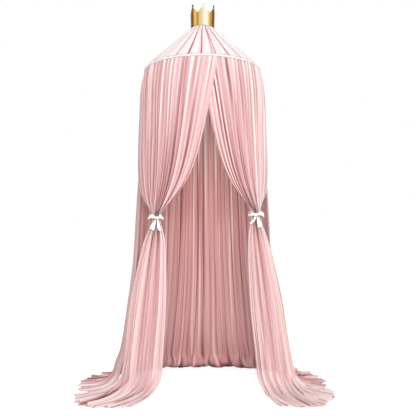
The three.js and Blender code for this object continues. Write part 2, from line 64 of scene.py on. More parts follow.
# Places from the frame
FLOOR_Z = cad_low.z
casing_low, casing_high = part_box("hoop_casing")
HOOP_Z = (casing_low.z + casing_high.z) / 2
CASING_RADIUS = (casing_high.z - casing_low.z) / 2
HOOP_RADIUS = (casing_high.x - casing_low.x) / 2 - CASING_RADIUS
HOOP_HEIGHT = HOOP_Z - FLOOR_Z
_, roof_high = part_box("roof_cloth")
NECK_TOP_Z = roof_high.z
crown_low, crown_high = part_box("crown_shell")
CROWN_HEIGHT = crown_high.z - crown_low.z

# A place along a curtain or the drape is 0 at the casing, 2 where it nears the floor and 3 at its
# hem. A curtain's tie goes from 1 to this place.
TIE_FOOT_PLACE = 1.06

# Base lightness along the cloth, as painted light and shade: darker into the curtains' ties and down
# the drape's middle to the floor, lighter near the casing and out on the floor; and how far it
# spreads, as (place, value)
CURTAIN_LIGHTNESS = [
    (0, 0.6), (0.3, 0.56), (0.7, 0.46), (0.95, 0.43), (1.06, 0.43), (1.2, 0.6), (1.6, 0.64),
    (2, 0.63), (2.4, 0.68), (3, 0.73),
]
CURTAIN_SPREAD = [(0, 1), (0.4, 1), (0.8, 1.4), (1.06, 1.35), (1.3, 0.9), (2.1, 0.9), (2.4, 1.5), (3, 1.6)]
DRAPE_LIGHTNESS = [
    (0, 0.5), (0.4, 0.45), (0.9, 0.33), (1.3, 0.34), (1.7, 0.38), (2, 0.28), (2.2, 0.36), (3, 0.62),
]
DRAPE_SPREAD = [(0, 0.34), (0.6, 0.28), (1.3, 0.19), (1.7, 0.15), (2, 0.2), (2.5, 0.3), (3, 0.3)]

# Cloth
SKIRT_FLARE = 140 * MM
LAYER_OFFSET = 7 * MM
SEWN_LAYER_OFFSET = 2.8 * MM
CURTAIN_SEWN_SHARE = 0.08
DRAPE_SEWN_SHARE = 0.06
FLOOR_CLEARANCE = 1.5 * MM
FLOOR_CLOTH_RISE = 9 * MM
FLOOR_DIP_SHARE = 0.05
FOOT_FALL_SHARE = 0.75
HEM_WAVE = 20 * MM
HEM_FINE_SHARE = 0.6
SEAM_GAP = 1 * MM
SEWN_DROP = CASING_RADIUS + SEAM_GAP
NECK_RADIUS = 9.1 * MM
NECK_HEIGHT = 12 * MM
# The skirt's flare by share of the hoop's height
SKIRT_PROFILE = [
    (0, 1.12), (0.06, 1), (0.11, 0.8), (0.25, 0.58), (0.4, 0.39),
    (0.55, 0.3), (0.75, 0.18), (0.9, 0.12), (1, 0),
]

# Sets of folds across a cloth: how many, how deep, how sharp their crests are, how far they
# wander and lean, and their depth along the cloth as (place, share)
CURTAIN_FOLDS = [
    dict(count=8, depth=7 * MM, sharp=1.4, drift=0.3, lean=0, along=[
        (0, 0.05), (0.15, 0.5), (0.5, 1), (0.85, 0.5), (1, 0.05), (1.06, 0.05), (1.25, 0.5), (1.6, 1),
        (2, 1.2), (2.4, 0.8), (3, 0.4),
    ]),
    dict(count=23, depth=5.4 * MM, sharp=1.15, drift=0.35, lean=0.22, along=[
        (0, 0.25), (0.1, 0.8), (0.5, 1), (0.85, 0.9), (1, 1.4), (1.06, 1.4), (1.2, 1),
        (2, 1), (2.5, 1), (3, 0.7),
    ]),
    dict(count=47, depth=2.4 * MM, sharp=1.1, drift=0.5, lean=0.18, along=[
        (0, 1), (0.12, 1), (0.5, 0.7), (1, 0.6), (1.06, 0.6), (1.3, 0.7), (2, 0.7), (3, 0.6),
    ]),
    dict(count=13, depth=15 * MM, sharp=0.8, drift=0.6, lean=0.3, along=[
        (0, 0), (1.85, 0), (2.1, 0.45), (2.45, 1), (3, 0.75),
    ]),
]
DRAPE_FOLDS = [
    dict(count=17, depth=7 * MM, sharp=1.4, drift=0.3, lean=0, along=[
        (0, 0.05), (0.15, 0.4), (0.6, 1), (1.6, 1.2), (2, 1.5), (2.4, 1), (3, 0.5),
    ]),
    dict(count=46, depth=5.4 * MM, sharp=1.15, drift=0.35, lean=0.22, along=[
        (0, 0.25), (0.1, 0.8), (0.5, 1), (2, 1.1), (2.4, 1), (3, 0.5),
    ]),
    dict(count=96, depth=2.2 * MM, sharp=1.1, drift=0.5, lean=0.15, along=[
        (0, 1), (0.2, 0.9), (1, 0.8), (3, 0.7),
    ]),
    dict(count=22, depth=14 * MM, sharp=0.8, drift=0.4, lean=0.3, along=[
        (0, 0), (1.8, 0), (2.1, 0.5), (2.45, 1), (3, 0.75),
    ]),
]

# Waists
WAIST_REACH = 330 * MM
WAIST_CORE_RADIUS = 18.5 * MM
WAIST_BAND_HEIGHT = 44 * MM
WAIST_MOUTH = 100
SLANT_SHARE = 0.5
SLANT_POWER = 7
DRAW_IN_POWER = 2
COLUMN_HALF_WIDTH = 94 * MM
COLUMN_DEPTH_SHARE = 0.8
COLUMN_WIDTHS = [
    (0.0, 1.06), (0.14, 1.04), (0.27, 1), (0.45, 0.95), (0.68, 0.78), (0.86, 0.56), (0.973, 0.225),
]

# Curtains: the angles of the leading and the outer edge at the hoop, whether the leading edge lies
# over or under the other curtain's, the tie, the foot, and the cloth on the floor by share of its
# width
# Each curtain's lightness and its lightness on the floor are painted light, which makes the right curtain
# and, more so, its heap on the floor lighter than the left.
LEFT = dict(
    name="left", side=-1, lead=14, outer=-94, lead_layer=1, waist=-40.7, waist_height=812 * MM,
    foot=-43, foot_reach=412 * MM, puddle_angles=[(0, -27), (0.5, -43), (1, -63)],
    puddle_reaches=[(0, 655 * MM), (0.5, 744 * MM), (1, 672 * MM)], seed=11, lightness=-0.01,
    painted_floor_light=0.02, spread=0.18,
)
RIGHT = dict(
    name="right", side=1, lead=-3, outer=99, lead_layer=-1, waist=50.7, waist_height=830 * MM,
    foot=55, foot_reach=428 * MM, puddle_angles=[(0, 31), (0.5, 43), (1, 72)],
    puddle_reaches=[(0, 655 * MM), (0.5, 752 * MM), (1, 676 * MM)], seed=23, lightness=0.03,
    painted_floor_light=0.12, spread=0.25,
)


# Small helpers
def smooth(x, low, high):
    t = np.clip((x - low) / (high - low), 0, 1)
    return t * t * (3 - 2 * t)


def lerp(a, b, t):
    return a + (b - a) * t


def by_place(table, place):
    return np.interp(place, *zip(*table))


def soft_limit(x, limit, knee):
    """Bends x off over the last knee below its limit."""
    return np.where(x > limit - knee, limit - knee + knee * np.tanh((x - limit + knee) / knee), x)


def at_angle(radius, angle, z):
    """Points at an angle in radians from the front."""
    radius, angle, z = np.broadcast_arrays(radius, angle, z)
    return np.stack([radius * np.sin(angle), -radius * np.cos(angle), z], axis=-1)


def curve_through(points, x):
    """A smooth curve without overshoot through the (x, y) points of a table."""
    xs, ys = (np.array(c, float) for c in zip(*points))
    steps = np.diff(xs)
    slopes = np.diff(ys) / steps
    tangents = np.zeros(len(xs))
    tangents[0], tangents[-1] = slopes[0], slopes[-1]
    same = slopes[:-1] * slopes[1:] > 0
    inner = np.zeros(len(xs) - 2)
    inner[same] = 2 * slopes[:-1][same] * slopes[1:][same] / (slopes[:-1][same] + slopes[1:][same])
    tangents[1:-1] = inner
    x = np.clip(x, xs[0], xs[-1])
    k = np.clip(np.searchsorted(xs, x) - 1, 0, len(xs) - 2)
    t = (x - xs[k]) / steps[k]
    h00, h10 = 2 * t**3 - 3 * t**2 + 1, t**3 - 2 * t**2 + t
    h01, h11 = -2 * t**3 + 3 * t**2, t**3 - t**2
    return h00 * ys[k] + h10 * steps[k] * tangents[k] + h01 * ys[k + 1] + h11 * steps[k] * tangents[k + 1]


NOISE_GRID = (256, 64)


def grid_noise(x, y, seed, periodic=None):
    """Smooth random values from -1 to 1 on a grid of whole numbers."""
    columns, rows = NOISE_GRID
    values = np.random.default_rng(seed).uniform(-1, 1, NOISE_GRID)
    x, y = np.broadcast_arrays(np.asarray(x, float), np.asarray(y, float))
    i, j = np.floor(x).astype(int), np.floor(y).astype(int)
    fx, fy = smooth(x - i, 0, 1), smooth(y - j, 0, 1)
    wrap = periodic or columns
    i0, i1 = (i % wrap) % columns, ((i + 1) % wrap) % columns
    j0, j1 = j % rows, (j + 1) % rows
    low = lerp(values[i0, j0], values[i1, j0], fx)
    high = lerp(values[i0, j1], values[i1, j1], fx)
    return lerp(low, high, fy)


FOLD_WARP = 0.55
FOLD_UNEVENNESS = 0.24


def fold_wave(u, v, count, seed, sharp, drift, periodic=False):
    """(height from -1 to 1, sideways lean) of count folds along u, which wander a little down v."""
    wrap = max(2, round(count / 2))
    warp = FOLD_WARP * grid_noise(u * wrap, 0.5, seed, wrap if periodic else None)
    wander = drift * grid_noise(u * wrap / 2, v * 1.3, seed + 1, max(1, wrap // 2) if periodic else None)
    phase = np.pi * (count * u + warp + wander)
    height = 1 - 2 * np.abs(np.sin(phase)) ** sharp
    uneven = grid_noise(u * count, v * 1.2, seed + 2, count if periodic else None)
    strength = 1 - FOLD_UNEVENNESS + FOLD_UNEVENNESS * uneven
    return height * strength, -np.sin(2 * phase) * strength


def strip_noise(u, v, count, seed):
    """Random lightness of narrow strips of cloth, each much the same along its whole length."""
    bend = 0.8 * grid_noise(u * count / 6, v * 1.2, seed)
    return grid_noise(u * count + bend, v * 0.7, seed + 1)


def chosen_strips(u, v, count, seed, low, high):
    """1 on the strips whose random lightness is above high, 0 where it is below low."""
    return smooth(strip_noise(u, v, count, seed), low, high)


def unit(vectors):
    return vectors / np.maximum(np.linalg.norm(vectors, axis=-1, keepdims=True), 1e-12)


def normals_of(grid, periodic=False):
    """Unit normals of a grid of points [row, column]."""
    if periodic:
        across = np.roll(grid, -1, axis=1) - np.roll(grid, 1, axis=1)
    else:
        across = np.gradient(grid, axis=1)
    return unit(np.cross(across, np.gradient(grid, axis=0)))


# Meshes
MAP_NAME = "cloth"


def grid_mesh(name, grid, uv, round_columns=False, **values):
    """A mesh of quads on a grid of points, with a map in metres and values at each point."""
    rows, columns = grid.shape[:2]
    index = np.arange(rows * columns).reshape(rows, columns)
    if round_columns:
        index = np.concatenate([index, index[:, :1]], axis=1)
    quads = np.stack([index[:-1, :-1], index[1:, :-1], index[1:, 1:], index[:-1, 1:]], axis=-1)
    mesh = bpy.data.meshes.new(name)
    mesh.from_pydata(grid.reshape(-1, 3).tolist(), [], quads.reshape(-1, 4).tolist())
    corner = np.empty(len(mesh.loops), int)
    mesh.loops.foreach_get("vertex_index", corner)
    layer = mesh.uv_layers.new(name=MAP_NAME)
    layer.data.foreach_set("uv", uv.reshape(-1, 2)[corner].astype(np.float32).ravel())
    for key, value in values.items():
        attribute = mesh.attributes.new(key, "FLOAT", "POINT")
        attribute.data.foreach_set("value", value.astype(np.float32).ravel())
    mesh.polygons.foreach_set("use_smooth", [True] * len(mesh.polygons))
    mesh.update()
    return mesh


def new_object(name, data):
    obj = bpy.data.objects.new(name, data)
    bpy.context.scene.collection.objects.link(obj)
    return obj


def add_piece(mesh, material, body, node):
    """A piece that rides on a body and takes the place of a node."""
    piece = new_object(mesh.name, mesh)
    mesh.materials.append(material)
    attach(piece, body)
    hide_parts(node)
    return piece


def flat_map(u, v, width, length):
    u, v = np.broadcast_arrays(u, v)
    return np.stack([u * width, v * length], axis=-1)


# Shader nodes
def new_material(name):
    material = bpy.data.materials.new(name)
    material.use_nodes = True
    return material, material.node_tree, material.node_tree.nodes["Principled BSDF"]


def fill(node, inputs):
    """Sets a node's inputs, by name or number, to values or links them to other nodes' outputs."""
    for key, value in inputs.items():
        if isinstance(value, bpy.types.NodeSocket):
            node.id_data.links.new(value, node.inputs[key])
        else:
            node.inputs[key].default_value = value


def add_node(tree, kind, inputs, **settings):
    """The outputs of a new node."""
    node = tree.nodes.new("ShaderNode" + kind)
    for key, value in settings.items():
        setattr(node, key, value)
    fill(node, inputs)
    return node.outputs


def colour(red, green, blue):
    """A colour written as it shows on screen, from 0 to 255."""
    def linear(c):
        c = c / 255
        return c / 12.92 if c <= 0.04045 else ((c + 0.055) / 1.055) ** 2.4
    return (linear(red), linear(green), linear(blue), 1)


def point_value(tree, name):
    return add_node(tree, "Attribute", {}, attribute_name=name)["Fac"]


def cloth_place(tree):
    return add_node(tree, "UVMap", {}, uv_map=MAP_NAME)["UV"]


def ramp_colour(tree, value, stops):
    """The colour that a value picks from stops of (place, colour on screen)."""
    ramp = tree.nodes.new("ShaderNodeValToRGB")
    elements = ramp.color_ramp.elements
    while len(elements) > 1:
        elements.remove(elements[-1])
    place, shade = stops[0]
    elements[0].position, elements[0].color = place, colour(*shade)
    for place, shade in stops[1:]:
        elements.new(place).color = colour(*shade)
    fill(ramp, {"Fac": value})
    return ramp.outputs["Color"]


def mixed_colour(tree, factor, first, second, blend="MIX"):
    inputs = {"Factor": factor, "A": first, "B": second}
    return add_node(tree, "Mix", inputs, data_type="RGBA", blend_type=blend)["Result"]


def larger(tree, first, second):
    return add_node(tree, "Math", {0: first, 1: second}, operation="MAXIMUM")[0]


def bump(tree, height, strength, distance):
    return add_node(tree, "Bump", {"Height": height, "Strength": strength, "Distance": distance})["Normal"]


def mix_surface(tree, factor, first, second, output):
    mixed = add_node(tree, "MixShader", {0: factor, 1: first, 2: second})[0]
    fill(tree.nodes[output], {"Surface": mixed})


# Materials
# Colour ramps picked by a lightness value at each point, which holds painted light and shade as well as
# random tone: low values are painted shade, high ones painted highlights, and on the gold they are dark and
# bright painted reflections
CURTAIN_STOPS = [
    (0.0, (138, 76, 78)), (0.25, (195, 143, 145)), (0.5, (222, 180, 181)), (0.75, (243, 212, 210)),
    (1.0, (255, 247, 243)),
]
DRAPE_SHADED_STOPS = [
    (0.0, (136, 52, 42)), (0.25, (197, 113, 104)), (0.5, (231, 156, 147)), (0.75, (250, 202, 190)),
    (1.0, (255, 247, 238)),
]
ROOF_STOPS = [
    (0.0, (115, 38, 52)), (0.15, (196, 92, 110)), (0.35, (234, 150, 162)), (0.55, (250, 205, 209)),
    (0.75, (255, 240, 240)), (1.0, (255, 255, 254)),
]
WHITE_STOPS = [(0.0, (225, 200, 200)), (0.5, (250, 242, 240)), (1.0, (255, 253, 252))]
SATIN_STOPS = [
    (0.0, (112, 92, 84)), (0.25, (190, 177, 170)), (0.5, (234, 228, 224)), (0.75, (251, 249, 247)),
    (1.0, (255, 255, 254)),
]
GOLD_REFLECTION_STOPS = [
    (0.0, (96, 48, 4)), (0.2, (150, 96, 20)), (0.45, (208, 162, 74)), (0.6, (238, 198, 120)),
    (0.75, (232, 212, 164)), (0.9, (250, 240, 204)), (1.0, (255, 253, 236)),
]
VOILE_PITCH = 0.8 * MM
SATIN_PITCH = 0.3 * MM
THREAD_BUMP = 0.1 * MM
GRAIN_BUMP = 0.05 * MM
# The period of a wave texture of scale 1
WAVE_PERIOD = 2 * math.pi / 20
# Length and fineness of the brushed lines on the gold
BRUSH_SCALE = (40, 4000, 1)


def weave_height(tree, pitch):
    """Height of a plain weave: two sets of threads on the cloth's own map."""
    inputs = {"Scale": WAVE_PERIOD / pitch, "Distortion": 0.6, "Vector": cloth_place(tree)}
    threads = [add_node(tree, "TexWave", inputs, bands_direction=axis)["Fac"] for axis in ("X", "Y")]
    return larger(tree, *threads)


def cloth_material(
    name, stops, alpha, pitch=VOILE_PITCH, roughness=0.9, sheen=0.2, weave=0.12, pale_stops=None
):
    """Woven cloth, coloured by a lightness value at each point, which follows the folds and holds painted
    highlights and shade. Given a second set of stops, the unshaded colours, its colour changes over to
    them where a second value at each point is 1; the first stops are then a copy in painted shade."""
    material, tree, shader = new_material(name)
    tint = point_value(tree, "tint")
    shade = ramp_colour(tree, tint, stops)
    if pale_stops:
        shade = mixed_colour(tree, point_value(tree, "pale"), shade, ramp_colour(tree, tint, pale_stops))
    height = weave_height(tree, pitch)
    fill(shader, {
        "Base Color": mixed_colour(tree, weave, shade, height, "MULTIPLY"),
        "Normal": bump(tree, height, 0.2, THREAD_BUMP), "Roughness": roughness, "Sheen Weight": sheen,
        "Sheen Roughness": 0.5, "Specular IOR Level": 0.2, "Alpha": alpha,
    })
    return material


def gold_material():
    """Satin sheet metal: soft upright stripes of painted reflection and fine brushing round the band."""
    material, tree, shader = new_material("gold_sheet_metal")
    painted_reflections = ramp_colour(tree, point_value(tree, "tint"), GOLD_REFLECTION_STOPS)
    stretched = add_node(tree, "Mapping", {"Scale": BRUSH_SCALE, "Vector": cloth_place(tree)})["Vector"]
    brushed = add_node(tree, "TexNoise", {"Scale": 1, "Detail": 3, "Vector": stretched})["Fac"]
    fill(shader, {
        "Base Color": mixed_colour(tree, 0.25, painted_reflections, brushed, "SOFT_LIGHT"),
        "Normal": bump(tree, brushed, 0.08, GRAIN_BUMP), "Metallic": 1, "Roughness": 0.3,
    })
    return material


def plain_material(name, low, high, metallic, roughness, scale):
    """Wire, tape or moulded plastic: a little colour variation and a fine bump from one noise."""
    material, tree, shader = new_material(name)
    place = add_node(tree, "TexCoord", {})["Object"]
    noise = add_node(tree, "TexNoise", {"Scale": scale, "Detail": 4, "Vector": place})["Fac"]
    fill(shader, {
        "Base Color": ramp_colour(tree, noise, [(0.3, low), (0.7, high)]),
        "Normal": bump(tree, noise, 0.1, GRAIN_BUMP), "Metallic": metallic, "Roughness": roughness,
    })
    return material


curtain_cloth = cloth_material("curtain_cloth", CURTAIN_STOPS, 0.87)
drape_cloth = cloth_material("drape_cloth", DRAPE_SHADED_STOPS, 0.95, sheen=0.05, pale_stops=CURTAIN_STOPS)
roof_cloth = cloth_material("roof_cloth_voile", ROOF_STOPS, 0.8)
casing_cloth = cloth_material("casing_cloth", WHITE_STOPS, 1.0, roughness=0.8)
satin = cloth_material(
    "satin_weave", SATIN_STOPS, 1.0, pitch=SATIN_PITCH, roughness=0.35, sheen=0.3, weave=0.05
)
gold = gold_material()
steel = plain_material("zinc_wire", (170, 172, 176), (214, 216, 220), 1, 0.35, 900)
plastic = plain_material("sleeve_plastic", (228, 226, 221), (240, 238, 234), 0, 0.5, 300)
tape = plain_material("sewn_tape", (238, 233, 229), (252, 249, 246), 0, 0.75, 1200)


# Cloth in general
def skirt_radius(height):
    return HOOP_RADIUS + SKIRT_FLARE * curve_through(SKIRT_PROFILE, height / HOOP_HEIGHT)


def edge_fade(u, least, start, end):
    """Share of the folds' depth, which is least at a cloth's side edges."""
    return lerp(least, 1, smooth(np.minimum(u, 1 - u), start, end))


def hem_wander(u, coarse, fine, seed):
    """How far a hem on the floor strays from its line, with coarse and fine waves along it."""
    wander = grid_noise(u * coarse, 0.5, seed) + HEM_FINE_SHARE * grid_noise(u * fine, 0.5, seed + 1)
    return HEM_WAVE * wander - HEM_WAVE


def floor_run(foot, before, target, t, sag):
    """Cloth that comes down from its foot row and runs out over the floor to its hem."""
    down = unit(foot - before)
    drop = foot[..., 2] - FLOOR_Z
    first = foot + down * (FOOT_FALL_SHARE * drop)[..., None]
    second = lerp(foot, target, sag)
    second[..., 2] = FLOOR_Z + FLOOR_CLOTH_RISE
    t = t[:, None, None]
    s = 1 - t
    return s**3 * foot + 3 * s**2 * t * first + 3 * s * t**2 * second + t**3 * target


def add_folds(middle, normal, u, place, folds, fade, seed, periodic=False):
    """Moves a grid along its normals by its sets of folds. Returns the points and each wave."""
    across = np.gradient(middle, axis=1)
    sideways = unit(across)
    width = np.linalg.norm(across, axis=-1) * middle.shape[1]
    offset, slide, waves = 0, 0, []
    for k, fold in enumerate(folds):
        share = by_place(fold["along"], place)
        wave, lean = fold_wave(u, place, fold["count"], seed + 3 * k, fold["sharp"], fold["drift"], periodic)
        offset = offset + fold["depth"] * share * wave
        slide = slide + fold["lean"] * share * lean * width / fold["count"]
        waves.append(wave)
    points = middle + (fade * offset)[..., None] * normal
    if not periodic:
        points = points + (fade * slide)[..., None] * sideways
    return points, waves


def above_floor(points):
    low = FLOOR_Z + FLOOR_CLEARANCE
    z = points[..., 2]
    points[..., 2] = np.where(z < low, low + FLOOR_DIP_SHARE * (low - z), z)
    return points


# Lightness of the cloth, painted light on the folds' crests and painted shade in their valleys: the
# share of each set of folds, and random strips as (share of the number of strips, strength, seed). The
# lines are painted highlights on crests and painted shade in valleys, and the ridge, gap and crest
# values paint the same on cloth on the floor.
FOLD_CONTRASTS = (0.3, 0.75, 0.25)
STRIPS = [(0.35, 0.3, 49), (1, 0.55, 41), (2, 0.35, 43)]
CONTRAST_LIMIT = 1.1
LIGHT_LINES = 1.9
DARK_LINES = 0.9
DARK_LINE_SHARE = 0.7
RIDGE_LIGHT = 0.17
GAP_SHADE = 0.7
CREST_LIGHT = 0.24
CREASE_CONTRAST = 0.3
ONTO_FLOOR = (2, 2.4)


def cloth_tint(base, spread, waves, u, v, seed, strips, lines, line_strength=1):
    """Lightness of sheer cloth: painted highlights on the crests, where more light also comes through,
    and painted shade in the valleys, where more layers also lie behind each other, with long lines
    along the threads."""
    main = waves[1]
    pattern = sum(contrast * wave for contrast, wave in zip(FOLD_CONTRASTS, waves))
    for share, strength, offset in STRIPS:
        pattern = pattern + strength * strip_noise(u, v, share * strips, seed + offset)
    pattern = soft_limit(pattern, CONTRAST_LIMIT, CONTRAST_LIMIT)
    # Painted highlight lines on chosen crests and painted shade lines in chosen valleys
    light = chosen_strips(u, v, lines * strips, seed + 45, 0.3, 0.85) * smooth(main, -0.7, 0.3)
    dark = chosen_strips(u, v, DARK_LINE_SHARE * strips, seed + 47, 0.3, 0.8) * smooth(-main, -0.3, 0.6)
    pattern = pattern + LIGHT_LINES * line_strength * light - DARK_LINES * dark
    return base + spread * (pattern - pattern.mean()) / pattern.std()


def floor_tint(ridges, u, v, seed):
    """Lightness that cloth on the floor adds: painted highlights on its ridges and crests, painted shade in
    the narrow gaps between them, and random lighter and darker creases.
    """
    gap = smooth(-ridges, 0.45, 0.95) * smooth(grid_noise(u * 9, v * 1.5, seed + 51), -0.3, 0.5)
    crest = smooth(ridges, 0.7, 0.98) * smooth(grid_noise(u * 13, v * 1.5, seed + 57), -0.4, 0.4)
    light_crease = chosen_strips(u, v, 62, seed + 59, 0.3, 0.7)
    dark_crease = chosen_strips(u, v, 46, seed + 63, 0.35, 0.75)
    creases = CREASE_CONTRAST * light_crease - CREASE_CONTRAST * dark_crease
    return smooth(v, 1.9, 2.4) * (RIDGE_LIGHT * ridges - GAP_SHADE * gap + CREST_LIGHT * crest + creases)


# Curtains
CURTAIN_COLUMNS = 520
CURTAIN_ROWS = dict(hanging=72, tie=5, column=52, floor=48)
CURTAIN_EDGE_FADE = (0.35, 0.12, 0.26)
CURTAIN_FOOT_SHARE = 0.14
CURTAIN_SAG = 0.45
CURTAIN_HEM_WAVES = (16, 40)
CURTAIN_STRIPS, CURTAIN_LINES = 42, 2.3
CURTAIN_STRANDS = 15
# Width of the cloth's map, and its length for each step of place
CURTAIN_MAP = (1.35, 0.65)
INTO_TIE = (0.8, 0.98)
OUT_OF_TIE = (1.08, 1.3)
OUTER_EDGE = (0.72, 0.9)
OUTER_EDGE_SHADE = 0.14
STRAND_CONTRAST = 0.13
LEAD_HEM, LEAD_HEM_LIGHT = (0.035, 0.02), 0.16
FOOT_HEM, FOOT_HEM_LIGHT = (2.975, 2.99), 0.2
COLUMN_DIMMING = 0.2
PUDDLE_BRIGHTENING = 0.1
LIGHTNESS_KNEE = 0.2
CURTAIN_LIGHTEST = 0.97


def tie_heights(c):
    """Heights of the top and the foot of a curtain's tied stretch."""
    return c["waist_height"] + WAIST_BAND_HEIGHT / 2, c["waist_height"] - WAIST_BAND_HEIGHT / 2


def column_centre(c, height):
    _, tie_foot = tie_heights(c)
    share = np.maximum(1 - height / tie_foot, 0)
    reach = lerp(WAIST_REACH, c["foot_reach"], share)
    angle = np.radians(lerp(c["waist"], c["foot"], share))
    return at_angle(reach, angle, FLOOR_Z + height)


def around_column(c, height, half_width, half_depth, u):
    """Points round a curtain's tied column, which is open at the back by the waist's mouth."""
    waist = math.radians(c["waist"])
    radial = np.array([math.sin(waist), -math.cos(waist), 0])
    tangent = np.array([math.cos(waist), math.sin(waist), 0])
    turn = np.radians(WAIST_MOUTH / 2 - 180 + u * (360 - WAIST_MOUTH))
    outwards = (np.cos(turn) * half_depth)[..., None] * radial
    across = (c["side"] * np.sin(turn) * half_width)[..., None] * tangent
    return column_centre(c, height) + outwards + across


def upper_curtain(c, along, u):
    """Cloth from the casing to the top of the tie."""
    tie_top, _ = tie_heights(c)
    sewn = 1 - smooth(along, 0, CURTAIN_SEWN_SHARE)
    height = lerp(HOOP_HEIGHT - SEWN_DROP, tie_top, along)
    drawn = SLANT_SHARE * along + (1 - SLANT_SHARE) * along**SLANT_POWER
    layer = lerp(c["lead_layer"], 1, smooth(u, 0, 0.5))
    offset = layer * lerp(LAYER_OFFSET, SEWN_LAYER_OFFSET, sewn)
    tied = around_column(c, np.full_like(u, tie_top), WAIST_CORE_RADIUS, WAIST_CORE_RADIUS, u)
    tied_angle = np.arctan2(tied[..., 0], -tied[..., 1])
    tied_reach = np.hypot(tied[..., 0], tied[..., 1])
    fan = np.radians(lerp(c["lead"], c["outer"], u))
    angle = lerp(fan, tied_angle, drawn)
    radius = lerp(skirt_radius(height) + offset, tied_reach, drawn**DRAW_IN_POWER)
    return at_angle(radius, angle, FLOOR_Z + height)


def lower_curtain(c, height, u):
    """Cloth from the tie down to where it starts to run out over the floor."""
    _, tie_foot = tie_heights(c)
    wide = COLUMN_HALF_WIDTH * curve_through(COLUMN_WIDTHS, height / c["waist_height"])
    wide = np.where(height >= tie_foot, 0, wide)
    half_width = np.maximum(wide, WAIST_CORE_RADIUS)
    half_depth = np.maximum(wide * COLUMN_DEPTH_SHARE, WAIST_CORE_RADIUS)
    return around_column(c, height, half_width, half_depth, u)


def curtain_middle(c, u):
    """Smooth middle surface of a drawn curtain, and each row's place along it."""
    tie_top, tie_foot = tie_heights(c)
    foot_height = CURTAIN_FOOT_SHARE * c["waist_height"]
    along = 1 - (1 - np.linspace(0, 1, CURTAIN_ROWS["hanging"])) ** 1.25
    above = upper_curtain(c, along[:, None], u)
    tie_rows = np.linspace(tie_top, tie_foot, CURTAIN_ROWS["tie"])[1:]
    column_rows = lerp(tie_foot, foot_height, np.linspace(0, 1, CURTAIN_ROWS["column"])[1:] ** 1.15)
    heights = np.concatenate([tie_rows, column_rows])[:, None]
    below = lower_curtain(c, np.broadcast_to(heights, (len(heights), u.shape[1])), u)
    reach = curve_through(c["puddle_reaches"], u) + hem_wander(u, *CURTAIN_HEM_WAVES, c["seed"])
    side_angles = np.radians(curve_through(c["puddle_angles"], u))
    target = at_angle(reach, side_angles, FLOOR_Z + FLOOR_CLOTH_RISE)[0]
    floor_share = np.linspace(0, 1, CURTAIN_ROWS["floor"])[1:]
    run = floor_run(below[-1], below[-2], target, floor_share, CURTAIN_SAG)
    place = np.concatenate([
        along,
        lerp(1, TIE_FOOT_PLACE, np.linspace(0, 1, len(tie_rows) + 1)[1:]),
        lerp(TIE_FOOT_PLACE, 2, np.linspace(0, 1, len(column_rows) + 1)[1:]),
        2 + floor_share,
    ])[:, None]
    return np.concatenate([above, below, run]), place


def curtain_tint(c, u, place, waves, bundled):
    """Lightness of a curtain, with painted shade along its outer edge below the tie, lighter hems and its
    painted highlights held down on its column.
    """
    base = c["lightness"] + by_place(CURTAIN_LIGHTNESS, place)
    base = base - OUTER_EDGE_SHADE * smooth(u, *OUTER_EDGE) * smooth(place, 1.1, 1.4)
    base = base + c["painted_floor_light"] * smooth(place, *ONTO_FLOOR)
    spread = c["spread"] * by_place(CURTAIN_SPREAD, place)
    tint = cloth_tint(base, spread, waves, u, place, c["seed"], CURTAIN_STRIPS, CURTAIN_LINES)
    tint = tint + floor_tint(waves[3], u, place, c["seed"])
    strands = strip_noise(u, place, CURTAIN_STRANDS, c["seed"] + 53) + 0.5 * waves[0]
    # Long strands between casing and floor: random strips, with painted highlights on the big folds' crests
    # and painted shade in their valleys
    tint = tint + STRAND_CONTRAST * smooth(place, 0.4, 0.9) * smooth(place, 1.9, 1.2) * strands
    # Painted highlights and shade on the gathered strands into and out of the tie
    tint = tint + bundled * (0.25 * waves[0] + 0.1 * waves[1])
    lead_hem = smooth(u, *LEAD_HEM) * smooth(place, 0.95, 0.8)
    dimmed = COLUMN_DIMMING * smooth(place, 1.06, 1.25)
    limit = 1 - dimmed + PUDDLE_BRIGHTENING * smooth(place, 1.9, 2.2)
    tint = soft_limit(tint + LEAD_HEM_LIGHT * lead_hem, limit, LIGHTNESS_KNEE)
    return np.clip(tint + FOOT_HEM_LIGHT * smooth(place, *FOOT_HEM), 0, CURTAIN_LIGHTEST)


def drawn_curtain(c):
    u = np.linspace(0, 1, CURTAIN_COLUMNS)[None, :]
    middle, place = curtain_middle(c, u)
    bundled = smooth(place, *INTO_TIE) * (1 - smooth(place, *OUT_OF_TIE))
    normal = -c["side"] * normals_of(middle)
    normal[..., 2] *= 1 - bundled
    fade = edge_fade(u, *CURTAIN_EDGE_FADE)
    points, waves = add_folds(middle, unit(normal), u, place, CURTAIN_FOLDS, fade, c["seed"] + 2)
    tint = curtain_tint(c, u, place, waves, bundled)
    name = "curtain_" + c["name"]
    mesh = grid_mesh(name + "_voile", above_floor(points), flat_map(u, place, *CURTAIN_MAP), tint=tint)
    return add_piece(mesh, curtain_cloth, "canopy", name)


